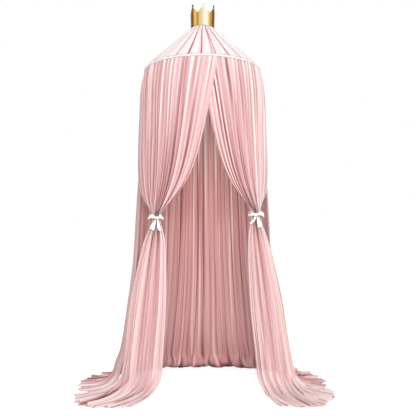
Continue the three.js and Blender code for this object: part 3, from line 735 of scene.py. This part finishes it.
# Back drape: the angles of its side edges at the hoop, low down and at the foot, and its reach over
# the floor as (angle, millimetres)
DRAPE_ANGLES = (77, 293)
DRAPE_LOW_ANGLES = (73.5, 298.5)
DRAPE_FOOT_ANGLES = (71, 299)
DRAPE_REACHES = [
    (71, 618), (95, 640), (114, 660), (128, 640), (150, 575), (180, 550), (215, 558), (245, 606),
    (262, 625), (297, 618),
]
DRAPE_SEED = 61
DRAPE_COLUMNS = 1020
DRAPE_ROWS = dict(hanging=58, floor=40)
DRAPE_EDGE_FADE = (0.3, 0.02, 0.16)
DRAPE_FOOT_SHARE = 0.055
DRAPE_SAG = 0.3
DRAPE_HEM_WAVES = (30, 70)
DRAPE_STRIPS, DRAPE_LINES = 110, 3.4
DRAPE_MAP = (3.0, 0.85)
FOOT_ROLL = 55 * MM
FOOT_LUMPS = 11
# The drape's middle keeps the deep colours, painted shade of the canopy's interior; its sides take the
# unshaded colours and are lighter, more so on the left, and painted light makes them lighter again on the
# floor.
SIDES = (0.18, 0.42)
SIDE_LIGHTNESS = (0.48, 0.61)
SIDE_SPREAD = 0.16
SIDE_FLOOR_GAIN = 0.08
MIDDLE_LIT_SHARE = (0.25, 0.65)
STREAK_LIGHT = 0.32
STREAK_SHADE = 0.2


def drape_middle(u):
    """Smooth middle surface of the back drape, and each row's place along it."""
    foot_angle = np.radians(lerp(*DRAPE_FOOT_ANGLES, u))
    share = 1 - (1 - np.linspace(0, 1, DRAPE_ROWS["hanging"])) ** 1.1
    heights = lerp(HOOP_HEIGHT - SEWN_DROP, DRAPE_FOOT_SHARE * HOOP_HEIGHT, share)[:, None]
    sewn = 1 - smooth(share[:, None], 0, DRAPE_SEWN_SHARE)
    inset = lerp(LAYER_OFFSET, SEWN_LAYER_OFFSET, sewn)
    low = smooth(share[:, None], 0.7, 1)
    angle = np.radians(lerp(lerp(*DRAPE_ANGLES, u), lerp(*DRAPE_LOW_ANGLES, u), low))
    hanging = at_angle(skirt_radius(heights) - inset, angle, FLOOR_Z + heights)
    reach = curve_through(DRAPE_REACHES, np.degrees(foot_angle)) * MM
    reach = reach + hem_wander(u, *DRAPE_HEM_WAVES, DRAPE_SEED)
    target = at_angle(reach, foot_angle, FLOOR_Z + FLOOR_CLOTH_RISE)[0]
    floor_share = np.linspace(0, 1, DRAPE_ROWS["floor"])[1:]
    run = floor_run(hanging[-1], hanging[-2], target, floor_share, DRAPE_SAG)
    place = np.concatenate([share * 2, 2 + floor_share])[:, None]
    middle = np.concatenate([hanging, run])
    lumps = 0.5 + 0.5 * grid_noise(u * FOOT_LUMPS, 0.5, DRAPE_SEED + 3)
    roll = FOOT_ROLL * lumps * smooth(-np.cos(foot_angle), 0.45, 0.85)
    roll = roll * smooth(place, 1.8, 2.25) * (1 - smooth(place, 2.3, 2.75))
    inwards = -at_angle(1.0, foot_angle, 0.0)
    return middle + roll[..., None] * inwards, place


def drape_tint(u, place, waves, sides):
    """Lightness of the drape: deep in the middle with painted shade of the canopy's interior, which also
    shows on its outer face, and light at its sides.
    """
    floor_gain = SIDE_FLOOR_GAIN * smooth(place, *ONTO_FLOOR)
    base = lerp(by_place(DRAPE_LIGHTNESS, place), lerp(*SIDE_LIGHTNESS, u) + floor_gain, sides)
    spread = lerp(by_place(DRAPE_SPREAD, place), SIDE_SPREAD + floor_gain, sides)
    inner_waves = [-wave for wave in waves]
    line_strength = lerp(1, 0.6, smooth(place, 0.5, 1.4))
    tint = cloth_tint(
        base, spread, inner_waves, u, place, DRAPE_SEED, DRAPE_STRIPS, DRAPE_LINES, line_strength
    )
    streaks = STREAK_LIGHT * chosen_strips(u, place, 58, DRAPE_SEED + 71, 0.3, 0.7)
    streaks = streaks - STREAK_SHADE * chosen_strips(u, place, 40, DRAPE_SEED + 73, 0.2, 0.7)
    tint = tint + streaks * smooth(place, 1.1, 0.4) * (1 - sides)
    return np.clip(tint + (1 - 0.5 * sides) * floor_tint(waves[3], u, place, DRAPE_SEED), 0, 1)


def back_drape():
    u = np.linspace(0, 1, DRAPE_COLUMNS)[None, :]
    middle, place = drape_middle(u)
    fade = edge_fade(u, *DRAPE_EDGE_FADE)
    points, waves = add_folds(middle, -normals_of(middle), u, place, DRAPE_FOLDS, fade, DRAPE_SEED + 2)
    sides = smooth(np.abs(u - 0.5) + 0.1 * smooth(place, 1.95, 2.3), *SIDES)
    tint = drape_tint(u, place, waves, sides)
    # Share of the unshaded colours: all at the sides, less in the middle and least near the top, where the
    # painted shade of the interior stays
    pale = np.maximum(sides, lerp(*MIDDLE_LIT_SHARE, smooth(place, 0.1, 1.5)))
    mesh = grid_mesh(
        "back_drape_voile", above_floor(points), flat_map(u, place, *DRAPE_MAP), tint=tint, pale=pale
    )
    return add_piece(mesh, drape_cloth, "canopy", "back_drape")


# Roof: a place is below 0 in the neck, 0 at its foot and 1 at the casing
ROOF_PLEATS = 28
ROOF_FOLDS = [
    dict(count=ROOF_PLEATS, depth=-4.6 * MM, sharp=0.8, drift=0.06, lean=0, along=[
        (-1, 0.12), (0, 0.12), (0.2, 0.3), (0.35, 0.7), (0.7, 1), (0.95, 0.6), (1, 0.3),
    ]),
    dict(count=3 * ROOF_PLEATS, depth=1.2 * MM, sharp=1.1, drift=0.1, lean=0, along=[
        (-1, 0.1), (0, 0.1), (0.3, 0.5), (1, 1),
    ]),
]
ROOF_SEED = 91
ROOF_COLUMNS = 720
ROOF_ROWS = dict(neck=8, cone=90)
ROOF_MAP = (1.9, 0.4)
ROOF_LIGHTNESS = 0.88
ROOF_FINE_CONTRAST = 0.06
VALLEY_SHADE, VALLEY_SHADE_SPREAD = 0.62, 0.45
NECK_VALLEY_SHADE = 0.3
THIN_LINES = 4 * ROOF_PLEATS
THIN_LINE_SHADE = 0.5


def roof_cone():
    """Roof cloth: a gathered neck under the binding, then pleats stretched down to the casing."""
    u = np.arange(ROOF_COLUMNS)[None, :] / ROOF_COLUMNS
    turn = 2 * np.pi * u
    neck_foot = NECK_TOP_Z - NECK_HEIGHT
    hem_z = HOOP_Z + CASING_RADIUS + SEAM_GAP
    neck = np.linspace(0, 1, ROOF_ROWS["neck"])[:-1]
    along = np.linspace(0, 1, ROOF_ROWS["cone"])
    neck_rows = at_angle(NECK_RADIUS, turn, lerp(NECK_TOP_Z, neck_foot, neck)[:, None])
    cone_radius = lerp(NECK_RADIUS, HOOP_RADIUS, along)[:, None]
    cone = at_angle(cone_radius, turn, lerp(neck_foot, hem_z, along)[:, None])
    middle = np.concatenate([neck_rows, cone])
    place = np.concatenate([neck - 1, along])[:, None]
    normal = normals_of(middle, periodic=True)
    normal = normal * np.sign(np.sum(normal * at_angle(1.0, turn, 0.0), axis=-1, keepdims=True))
    fade = np.ones_like(u)
    points, waves = add_folds(middle, normal, u, place, ROOF_FOLDS, fade, ROOF_SEED, periodic=True)
    uneven = grid_noise(u * ROOF_PLEATS, 0.5, ROOF_SEED + 42, ROOF_PLEATS)
    valley = smooth(waves[0], -0.1, 0.7)
    thin = smooth(grid_noise(u * THIN_LINES, place * 0.6, ROOF_SEED + 44, THIN_LINES), 0.25, 0.85)
    # Painted light and shade on the fine folds, random thin darker lines, and painted shade in the pleats'
    # valleys, which deepens towards the neck
    tint = ROOF_LIGHTNESS + ROOF_FINE_CONTRAST * waves[1] - THIN_LINE_SHADE * thin
    shade = VALLEY_SHADE + VALLEY_SHADE_SPREAD * uneven + NECK_VALLEY_SHADE * smooth(place, 0.75, 0.15)
    tint = np.clip(tint - shade * valley, 0, 1)
    mesh = grid_mesh("roof_voile", points, flat_map(u, place, *ROOF_MAP), tint=tint, round_columns=True)
    return add_piece(mesh, roof_cloth, "canopy", "roof_cloth")


# Casing: its slit faces down and inwards, and its gathers come in a fine and a coarse set
CASING_COLUMNS, CASING_SIDES = 1440, 15
CASING_SLIT, CASING_SLIT_HALF = -135, 10
CASING_GATHERS, CASING_GATHER_DEPTH = 150, 1.1 * MM
CASING_LUMPS, CASING_LUMP_DEPTH = 60, 0.8 * MM
CASING_INSET = 1.0 * MM
CASING_SEEDS = (131, 135)
CASING_MAP = (1.9, 0.007)
CASING_LIGHTNESS = 0.62


def hoop_casing():
    """Tunnel of cloth gathered on the hoop, open at its slit underneath on the inner side."""
    u = np.arange(CASING_COLUMNS)[None, :] / CASING_COLUMNS
    round_slit = np.linspace(CASING_SLIT_HALF, 360 - CASING_SLIT_HALF, CASING_SIDES)
    turn = np.radians(CASING_SLIT + round_slit)[:, None]
    gather, _ = fold_wave(u, turn, CASING_GATHERS, CASING_SEEDS[0], 1.0, 0.2, periodic=True)
    lump, _ = fold_wave(u, turn, CASING_LUMPS, CASING_SEEDS[1], 1.2, 0.2, periodic=True)
    radius = CASING_RADIUS - CASING_INSET + CASING_GATHER_DEPTH * gather + CASING_LUMP_DEPTH * lump
    points = at_angle(HOOP_RADIUS + radius * np.cos(turn), 2 * np.pi * u, HOOP_Z + radius * np.sin(turn))
    # Painted light and shade: lighter on the gathers' crests and on the casing's top, darker underneath
    tint = np.clip(CASING_LIGHTNESS + 0.3 * gather + 0.15 * lump + 0.2 * np.sin(turn), 0, 1)
    flat = flat_map(u, turn, *CASING_MAP)
    mesh = grid_mesh("casing_gathered", points, flat, tint=tint, round_columns=True)
    return add_piece(mesh, casing_cloth, "canopy", "hoop_casing")


# Crown
CROWN_RADIUS = 62 * MM
CROWN_SHEET = 1.5 * MM
CROWN_FLARE_SHARE = 0.045
CROWN_PRONGS = 6
CROWN_FIRST_PRONG = 6
CROWN_VALLEY_HEIGHT = 69 * MM
CROWN_NECK_HEIGHT = 98 * MM
CROWN_NECK_HALF = 4.5 * MM
CROWN_TIP_RADIUS = 7.5 * MM
CROWN_TIP_TURNS = (-48, 86)
CROWN_ROWS = dict(band=24, prong=22, tip=18)
CROWN_COLUMNS = 33
CROWN_WELD = 0.02 * MM
CROWN_ROUNDING, CROWN_ROUNDED_ANGLE = 0.5 * MM, 50
# Half width of a prong by share of its rise, from 1 at the band to 0 at its neck
PRONG_SHARES = [(0, 1), (0.16, 0.78), (0.55, 0.46), (0.82, 0.22), (1, 0)]
# Brightness of the soft upright stripes of painted reflection on the metal, by angle from the front
GOLD_PAINTED_REFLECTIONS = [
    (-180, 0.5), (-150, 0.8), (-125, 0.35), (-104, 0.6), (-90, 0.1), (-72, 0.02), (-54, 0.08), (-45, 0.5),
    (-38, 0.6), (-30, 0.5), (-24, 0.34), (-14, 0.68), (-2, 0.8), (8, 0.96), (20, 1), (29, 0.8), (37, 0.5),
    (47, 0.38), (55, 0.08), (68, 0.02), (78, 0.2), (88, 0.7), (104, 0.8), (125, 0.3), (150, 0.7), (180, 0.5),
]


def prong_outline(valley_half):
    """Rows of (height, half width) of one sixth of the crown: band, prong and round tip."""
    rows = [(z, valley_half) for z in np.linspace(0, CROWN_VALLEY_HEIGHT, CROWN_ROWS["band"])[:-1]]
    rise = CROWN_NECK_HEIGHT - CROWN_VALLEY_HEIGHT
    up = np.linspace(0, 1, CROWN_ROWS["prong"])
    for share, wide in zip(up, curve_through(PRONG_SHARES, up)):
        rows.append((CROWN_VALLEY_HEIGHT + share * rise, lerp(CROWN_NECK_HALF, valley_half, wide)))
    tip_middle = CROWN_HEIGHT - CROWN_TIP_RADIUS
    for turn in np.linspace(*np.radians(CROWN_TIP_TURNS), CROWN_ROWS["tip"]):
        rows.append((tip_middle + CROWN_TIP_RADIUS * math.sin(turn), CROWN_TIP_RADIUS * math.cos(turn)))
    return np.array(rows)


def crown_mesh():
    """The crown's sheet as one surface, with its map and the brightness of its painted reflections."""
    sector = 2 * math.pi / CROWN_PRONGS
    rows = prong_outline(sector / 2 * CROWN_RADIUS)
    across = np.linspace(-1, 1, CROWN_COLUMNS)
    bm = bmesh.new()
    map_layer = bm.loops.layers.uv.new(MAP_NAME)
    tint_layer = bm.verts.layers.float.new("tint")
    for prong in range(CROWN_PRONGS):
        middle = math.radians(CROWN_FIRST_PRONG) + prong * sector
        made, maps = [], []
        for z, half in rows:
            angle = middle + across * half / CROWN_RADIUS
            radius = CROWN_RADIUS * (1 + CROWN_FLARE_SHARE * z / CROWN_HEIGHT)
            row = [bm.verts.new(point) for point in at_angle(radius, angle, crown_low.z + z)]
            painted_reflections = curve_through(GOLD_PAINTED_REFLECTIONS, (np.degrees(angle) + 180) % 360 - 180)
            for vertex, value in zip(row, painted_reflections):
                vertex[tint_layer] = float(value)
            made.append(row)
            maps.append([(CROWN_RADIUS * a, z) for a in angle])
        for i in range(len(rows) - 1):
            for j in range(CROWN_COLUMNS - 1):
                corners = [(i, j), (i, j + 1), (i + 1, j + 1), (i + 1, j)]
                face = bm.faces.new([made[a][b] for a, b in corners])
                face.smooth = True
                for loop, (a, b) in zip(face.loops, corners):
                    loop[map_layer].uv = maps[a][b]
    bmesh.ops.remove_doubles(bm, verts=bm.verts, dist=CROWN_WELD)
    mesh = bpy.data.meshes.new("crown_sheet_gold")
    bm.to_mesh(mesh)
    bm.free()
    return mesh


def crown():
    piece = add_piece(crown_mesh(), gold, "crown", "crown_shell")
    sheet = piece.modifiers.new("sheet", "SOLIDIFY")
    sheet.thickness = CROWN_SHEET
    sheet.offset = -1
    rounding = piece.modifiers.new("rounding", "BEVEL")
    rounding.width = CROWN_ROUNDING
    rounding.segments = 2
    rounding.limit_method = "ANGLE"
    rounding.angle_limit = math.radians(CROWN_ROUNDED_ANGLE)


# Tie-backs
RIBBON_WIDTH = 20 * MM
RIBBON_THICKNESS = 0.7 * MM
RIBBON_LENGTH = 120 * MM
RIBBON_COLUMNS = 11
BAND_STEPS, KNOT_STEPS, LOOP_STEPS, TAIL_STEPS = 128, 40, 57, 41
BAND_WIDTH = 11 * MM
BAND_RADIUS = 33.2 * MM
BAND_WRINKLES, BAND_WRINKLE_DEPTH = 16, 0.6 * MM
BAND_EDGE_DROP = 0.5 * MM
BAND_WAVE = 1 * MM
KNOT_SIZE = (13 * MM, 10 * MM, 15 * MM)
KNOT_GAP = 1.2 * MM
KNOT_MAP = (0.04, 0.013)
KNOT_CREASE = 0.06
KNOT_WELD = 0.01 * MM
LOOP_DEPTH = 13 * MM
LOOP_START_GAP = 0.9 * MM
LOOP_OPEN_TURN = 0.42
LOOP_PINCH = 1.2 * MM
LOOP_CUP = 1.4 * MM
LOOP_ARCH = 4.5 * MM
TAIL_START_DROP = 0.3 * MM
TAIL_START_SIDE = 4.4 * MM
TAIL_START_SHARE = 0.42
TAIL_SWING = 15 * MM
TAIL_RIPPLE = 1.5 * MM
TAIL_SWAY = 1.6 * MM
# LOOP_OPEN_TURN is in radians.
# Each loop: how far out it goes, the rise of its end, the outward lean of its lower edge, the turn
# of its hollow in degrees and its own depth, if any. Each tail: the middle of its end, its width
# there, how much lower its inner corner is, and its curve.
BOWS = dict(
    left=dict(
        shift=4 * MM,
        left_loop=dict(reach=31 * MM, rise=2 * MM, lean=24, gape=-24),
        right_loop=dict(reach=20 * MM, rise=0 * MM, lean=28, gape=-14),
        left_tail=dict(end=(-21 * MM, -56 * MM), width=21 * MM, slant=10 * MM, curve=2 * MM),
        right_tail=dict(end=(15 * MM, -61 * MM), width=16 * MM, slant=-4 * MM, curve=-1 * MM),
    ),
    right=dict(
        shift=0,
        left_loop=dict(reach=29 * MM, rise=2 * MM, lean=2, gape=76, depth=19 * MM),
        right_loop=dict(reach=31 * MM, rise=-3 * MM, lean=6, gape=-26),
        left_tail=dict(end=(-28 * MM, -45 * MM), width=11 * MM, slant=4 * MM, curve=-7 * MM),
        right_tail=dict(end=(19 * MM, -60 * MM), width=21 * MM, slant=7 * MM, curve=2 * MM),
    ),
)


def add_ribbon(node, grid, tint, body, round_columns=False):
    rows, columns = grid.shape[:2]
    u, v = np.meshgrid(np.linspace(0, 1, columns), np.linspace(0, 1, rows))
    tint = np.clip(np.broadcast_to(tint, (rows, columns)), 0, 1)
    flat = flat_map(u, v, RIBBON_LENGTH, RIBBON_WIDTH)
    mesh = grid_mesh(node + "_ribbon", grid, flat, tint=tint, round_columns=round_columns)
    piece = add_piece(mesh, satin, body, node)
    solid = piece.modifiers.new("ribbon", "SOLIDIFY")
    solid.thickness = RIBBON_THICKNESS
    solid.offset = 0


def band_grid(across, seed):
    """Ribbon round the gathered cloth, with a few wrinkles along it."""
    u = np.arange(BAND_STEPS)[None, :] / BAND_STEPS
    wrinkle = grid_noise(u * BAND_WRINKLES, across * 1.5 + 3, seed, BAND_WRINKLES)
    radius = BAND_RADIUS + BAND_WRINKLE_DEPTH * wrinkle - BAND_EDGE_DROP * across**2
    z = across * BAND_WIDTH / 2 + BAND_WAVE * np.sin(2 * np.pi * u + 1) * (1 - across**2)
    # Painted light and shade on the wrinkles: lighter where the ribbon stands out, darker where it sinks in
    return at_angle(radius, 2 * np.pi * u, z), 0.72 + 0.2 * wrinkle


def add_knot(node, centre, bow_y, body):
    """Knot: ribbon wound round the middle of the bow, with upright creases."""
    knot_x, knot_y, knot_z = (s / 2 for s in KNOT_SIZE)
    turn = np.linspace(0, 2 * np.pi, KNOT_STEPS + 1)[None, :-1]
    place = np.concatenate([[-1, -0.97], np.linspace(-0.9, 0.9, 17), [0.97, 1]])[:, None]
    round_off = np.sqrt(np.maximum(1 - np.abs(place) ** 3.2, 0.02))
    crease = 1 + KNOT_CREASE * np.cos(np.pi * 4.5 * place + 0.6 * np.sin(2 * turn))
    grid = np.stack(np.broadcast_arrays(
        knot_x * place * (1 - 0.16 * np.abs(np.sin(turn))),
        bow_y + knot_y * round_off * crease * np.cos(turn),
        knot_z * round_off * crease * np.sin(turn),
    ), axis=-1) + centre
    grid[0] = grid[0].mean(axis=0)
    grid[-1] = grid[-1].mean(axis=0)
    # Painted light and shade on the creases, and painted shade towards the ends, where the knot's ribbon
    # turns under
    tint = np.clip(0.74 + 3 * (crease - 1) - 0.35 * np.abs(place) ** 6, 0, 1)
    u, v = np.meshgrid(np.linspace(0, 1, KNOT_STEPS), np.linspace(0, 1, grid.shape[0]))
    mesh = grid_mesh(node + "_ribbon", grid, flat_map(u, v, *KNOT_MAP), tint=tint, round_columns=True)
    bm = bmesh.new()
    bm.from_mesh(mesh)
    bmesh.ops.remove_doubles(bm, verts=bm.verts, dist=KNOT_WELD)
    bmesh.ops.recalc_face_normals(bm, faces=bm.faces)
    bm.to_mesh(mesh)
    bm.free()
    add_piece(mesh, satin, body, node)


def loop_grid(loop, side, bow_y, across):
    """Ribbon that goes out from the knot in front and comes back behind, pinched at the knot."""
    turn = np.linspace(LOOP_OPEN_TURN - np.pi, np.pi - LOOP_OPEN_TURN, LOOP_STEPS)[None, :]
    out = (1 + np.cos(turn)) / 2
    half = RIBBON_WIDTH / 2 * lerp(0.26, 1.2, smooth(out, -0.35, 0.9))
    folded = np.cos(2.5 * np.pi * across + side)
    pinch = LOOP_PINCH * (1 - out) ** 1.5 * folded
    cup = LOOP_CUP * out * across**2 * np.sign(np.sin(turn) + 1e-9)
    depth = loop.get("depth", LOOP_DEPTH) / 2 * np.sin(turn) + pinch - cup
    width = half * across
    gape = math.radians(loop["gape"]) * smooth(out, 0.05, 0.75)
    lean = math.tan(math.radians(loop["lean"])) * out**1.5
    arch = LOOP_ARCH * np.sin(np.pi * out**0.8)
    x = side * (KNOT_SIZE[0] / 2 + LOOP_START_GAP + loop["reach"] * out - lean * width)
    y = bow_y + depth * np.cos(gape) - width * np.sin(gape)
    z = arch + loop["rise"] * out + depth * np.sin(gape) + width * np.cos(gape)
    # Painted shade in the loop's hollow, near the knot and along the ribbon's edges, and painted light and
    # shade on its folds by the knot
    inside = smooth(np.sin(turn), -0.35, 0.5) * smooth(1 - out, -0.1, 0.25)
    if loop["gape"] > 0:
        inside = 0.6 * inside * smooth(across, 1.1, 0.75)
    edge = smooth(np.abs(across), 0.72, 1)
    tint = 0.94 + 0.16 * folded * (1 - out) - 0.5 * smooth(0.3 - out, 0, 0.3) - 0.8 * inside - 0.5 * edge
    return np.stack(np.broadcast_arrays(x, y, z), axis=-1), tint


def tail_grid(tail, side, bow_y, across):
    """Ribbon end that hangs from under the knot, clear of the cloth below."""
    down = np.linspace(0, 1, TAIL_STEPS)[None, :]
    end_x, end_z = tail["end"]
    start_z = -(KNOT_SIZE[2] / 2 + TAIL_START_DROP)
    half = lerp(TAIL_START_SHARE * RIBBON_WIDTH / 2, tail["width"] / 2, smooth(down, 0, 0.8))
    middle = lerp(side * TAIL_START_SIDE, end_x, down) + tail["curve"] * np.sin(np.pi * down) * side
    folded = np.cos(1.5 * np.pi * across + 3 * down + side)
    x = middle + half * across
    sway = TAIL_SWAY * np.sin(2 * np.pi * down + side)
    y = bow_y - TAIL_SWING * down + sway + TAIL_RIPPLE * down * folded
    z = lerp(start_z, end_z, down) + tail["slant"] / 2 * side * across * down**2
    # Painted shade along the ribbon's edges and at the top under the knot, and painted light and shade on
    # its folds
    edge = smooth(np.abs(across), 0.72, 1)
    tint = 0.9 + 0.2 * folded - 0.6 * smooth(0.25 - down, 0, 0.25) - 0.5 * edge
    return np.stack(np.broadcast_arrays(x, y, z), axis=-1), tint


def tie_back(c):
    body = "tieback_" + c["name"]
    bow = BOWS[c["name"]]
    centre = at_angle(WAIST_REACH, math.radians(c["waist"]), FLOOR_Z + c["waist_height"])
    bow_y = -(BAND_RADIUS + KNOT_GAP + KNOT_SIZE[1] / 2)
    across = np.linspace(-1, 1, RIBBON_COLUMNS)[:, None]
    grid, tint = band_grid(across, c["seed"] + 300)
    add_ribbon(body + "_band", grid + centre, tint, body, round_columns=True)
    centre = centre + np.array([bow["shift"], 0, 0])
    add_knot(body + "_knot", centre, bow_y, body)
    for side, word in ((-1, "left"), (1, "right")):
        grid, tint = loop_grid(bow[word + "_loop"], side, bow_y, across)
        add_ribbon(body + "_loop_" + word, grid + centre, tint, body)
        grid, tint = tail_grid(bow[word + "_tail"], side, bow_y, across)
        add_ribbon(body + "_tail_" + word, grid + centre, tint, body)


# Nodes that keep their shape and get a new material, by the start of their names
NODE_MATERIALS = [
    ("hoop_rod", steel), ("hang_ring", steel), ("hoop_sleeve", plastic), ("hang_loop", tape),
    ("neck_binding", tape),
]


def dress_nodes():
    for name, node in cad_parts.items():
        for start, material in NODE_MATERIALS:
            if name.startswith(start):
                node.data.materials.clear()
                node.data.materials.append(material)


# Floor, light and camera
FLOOR_HALF_SIZE = 14
FLOOR_DROP = 0.5 * MM
FLOOR_GLOW, FLOOR_GLOW_SHARE = 1.45, 0.6
WORLD_STRENGTH = 0.46
# Lamps: name, place, target, size across and power in watts
LAMPS = [
    ("front", (0.1, -4.4, -0.85), (0, 0.2, -1.1), 1.9, 112),
    ("key", (1.4, -3.2, 1.0), (0, -0.3, -1.7), 2.6, 32),
    ("top", (0, -0.9, 2.2), (0, 0, -0.3), 1.2, 16),
    ("back", (0, 3.6, 0.8), (0, 0, -1.0), 2.6, 55),
]
CAMERA_DISTANCE = 3.3
CAMERA_HEIGHT = 0.61
CAMERA_SIDE = 0.028
CAMERA_TILT = 4.7
SENSOR_WIDTH = 36
FOCAL_PIXELS = 645
FRAME_PIXELS = 416


def floor_material():
    """Plain white floor, which looks brighter than it is to the camera and in reflections."""
    material, tree, shader = new_material("floor_white")
    fill(shader, {"Base Color": (0.9, 0.9, 0.9, 1), "Roughness": 0.9, "Specular IOR Level": 0})
    glow = add_node(tree, "Emission", {"Strength": FLOOR_GLOW})[0]
    rays = add_node(tree, "LightPath", {})
    seen = larger(tree, rays["Is Camera Ray"], rays["Is Glossy Ray"])
    share = add_node(tree, "Math", {0: seen, 1: FLOOR_GLOW_SHARE}, operation="MULTIPLY")[0]
    mix_surface(tree, share, shader.outputs[0], glow, "Material Output")
    return material


def add_floor():
    size = FLOOR_HALF_SIZE
    mesh = bpy.data.meshes.new("floor")
    corners = [(-size, -size), (size, -size), (size, size), (-size, size)]
    mesh.from_pydata([(x, y, FLOOR_Z - FLOOR_DROP) for x, y in corners], [], [(0, 1, 2, 3)])
    mesh.materials.append(floor_material())
    new_object("floor", mesh)


def add_world():
    """White surroundings, which light the object less than they show."""
    world = bpy.data.worlds.new("studio")
    bpy.context.scene.world = world
    world.use_nodes = True
    tree = world.node_tree
    light = tree.nodes["Background"]
    fill(light, {"Color": (1, 1, 1, 1), "Strength": WORLD_STRENGTH})
    shown = add_node(tree, "Background", {"Color": (1, 1, 1, 1), "Strength": 1})[0]
    rays = add_node(tree, "LightPath", {})
    seen = larger(tree, rays["Is Camera Ray"], rays["Is Glossy Ray"])
    seen = larger(tree, seen, rays["Is Transmission Ray"])
    mix_surface(tree, seen, light.outputs[0], shown, "World Output")


def add_lamp(name, place, target, size, power):
    data = bpy.data.lights.new(name, "AREA")
    data.shape = "DISK"
    data.size = size
    data.energy = power
    lamp = new_object(name, data)
    lamp.location = place
    lamp.visible_glossy = False
    aim = (np.array(target) - np.array(place)).tolist()
    lamp.rotation_euler = Vector(aim).to_track_quat("-Z", "Y").to_euler()


def add_camera():
    data = bpy.data.cameras.new("camera")
    data.sensor_width = SENSOR_WIDTH
    data.lens = SENSOR_WIDTH * FOCAL_PIXELS / FRAME_PIXELS
    camera = new_object("camera", data)
    camera.location = (CAMERA_SIDE, -CAMERA_DISTANCE, FLOOR_Z + CAMERA_HEIGHT)
    camera.rotation_euler = (math.pi / 2 + math.radians(CAMERA_TILT), 0, 0)
    bpy.context.scene.camera = camera


left_voile = drawn_curtain(LEFT)
right_voile = drawn_curtain(RIGHT)
drape_voile = back_drape()
roof_voile = roof_cone()
casing_voile = hoop_casing()
crown()
tie_back(LEFT)
tie_back(RIGHT)
dress_nodes()

add_floor()
add_world()
for lamp in LAMPS:
    add_lamp(*lamp)
add_camera()
bpy.context.scene.view_settings.view_transform = "Standard"
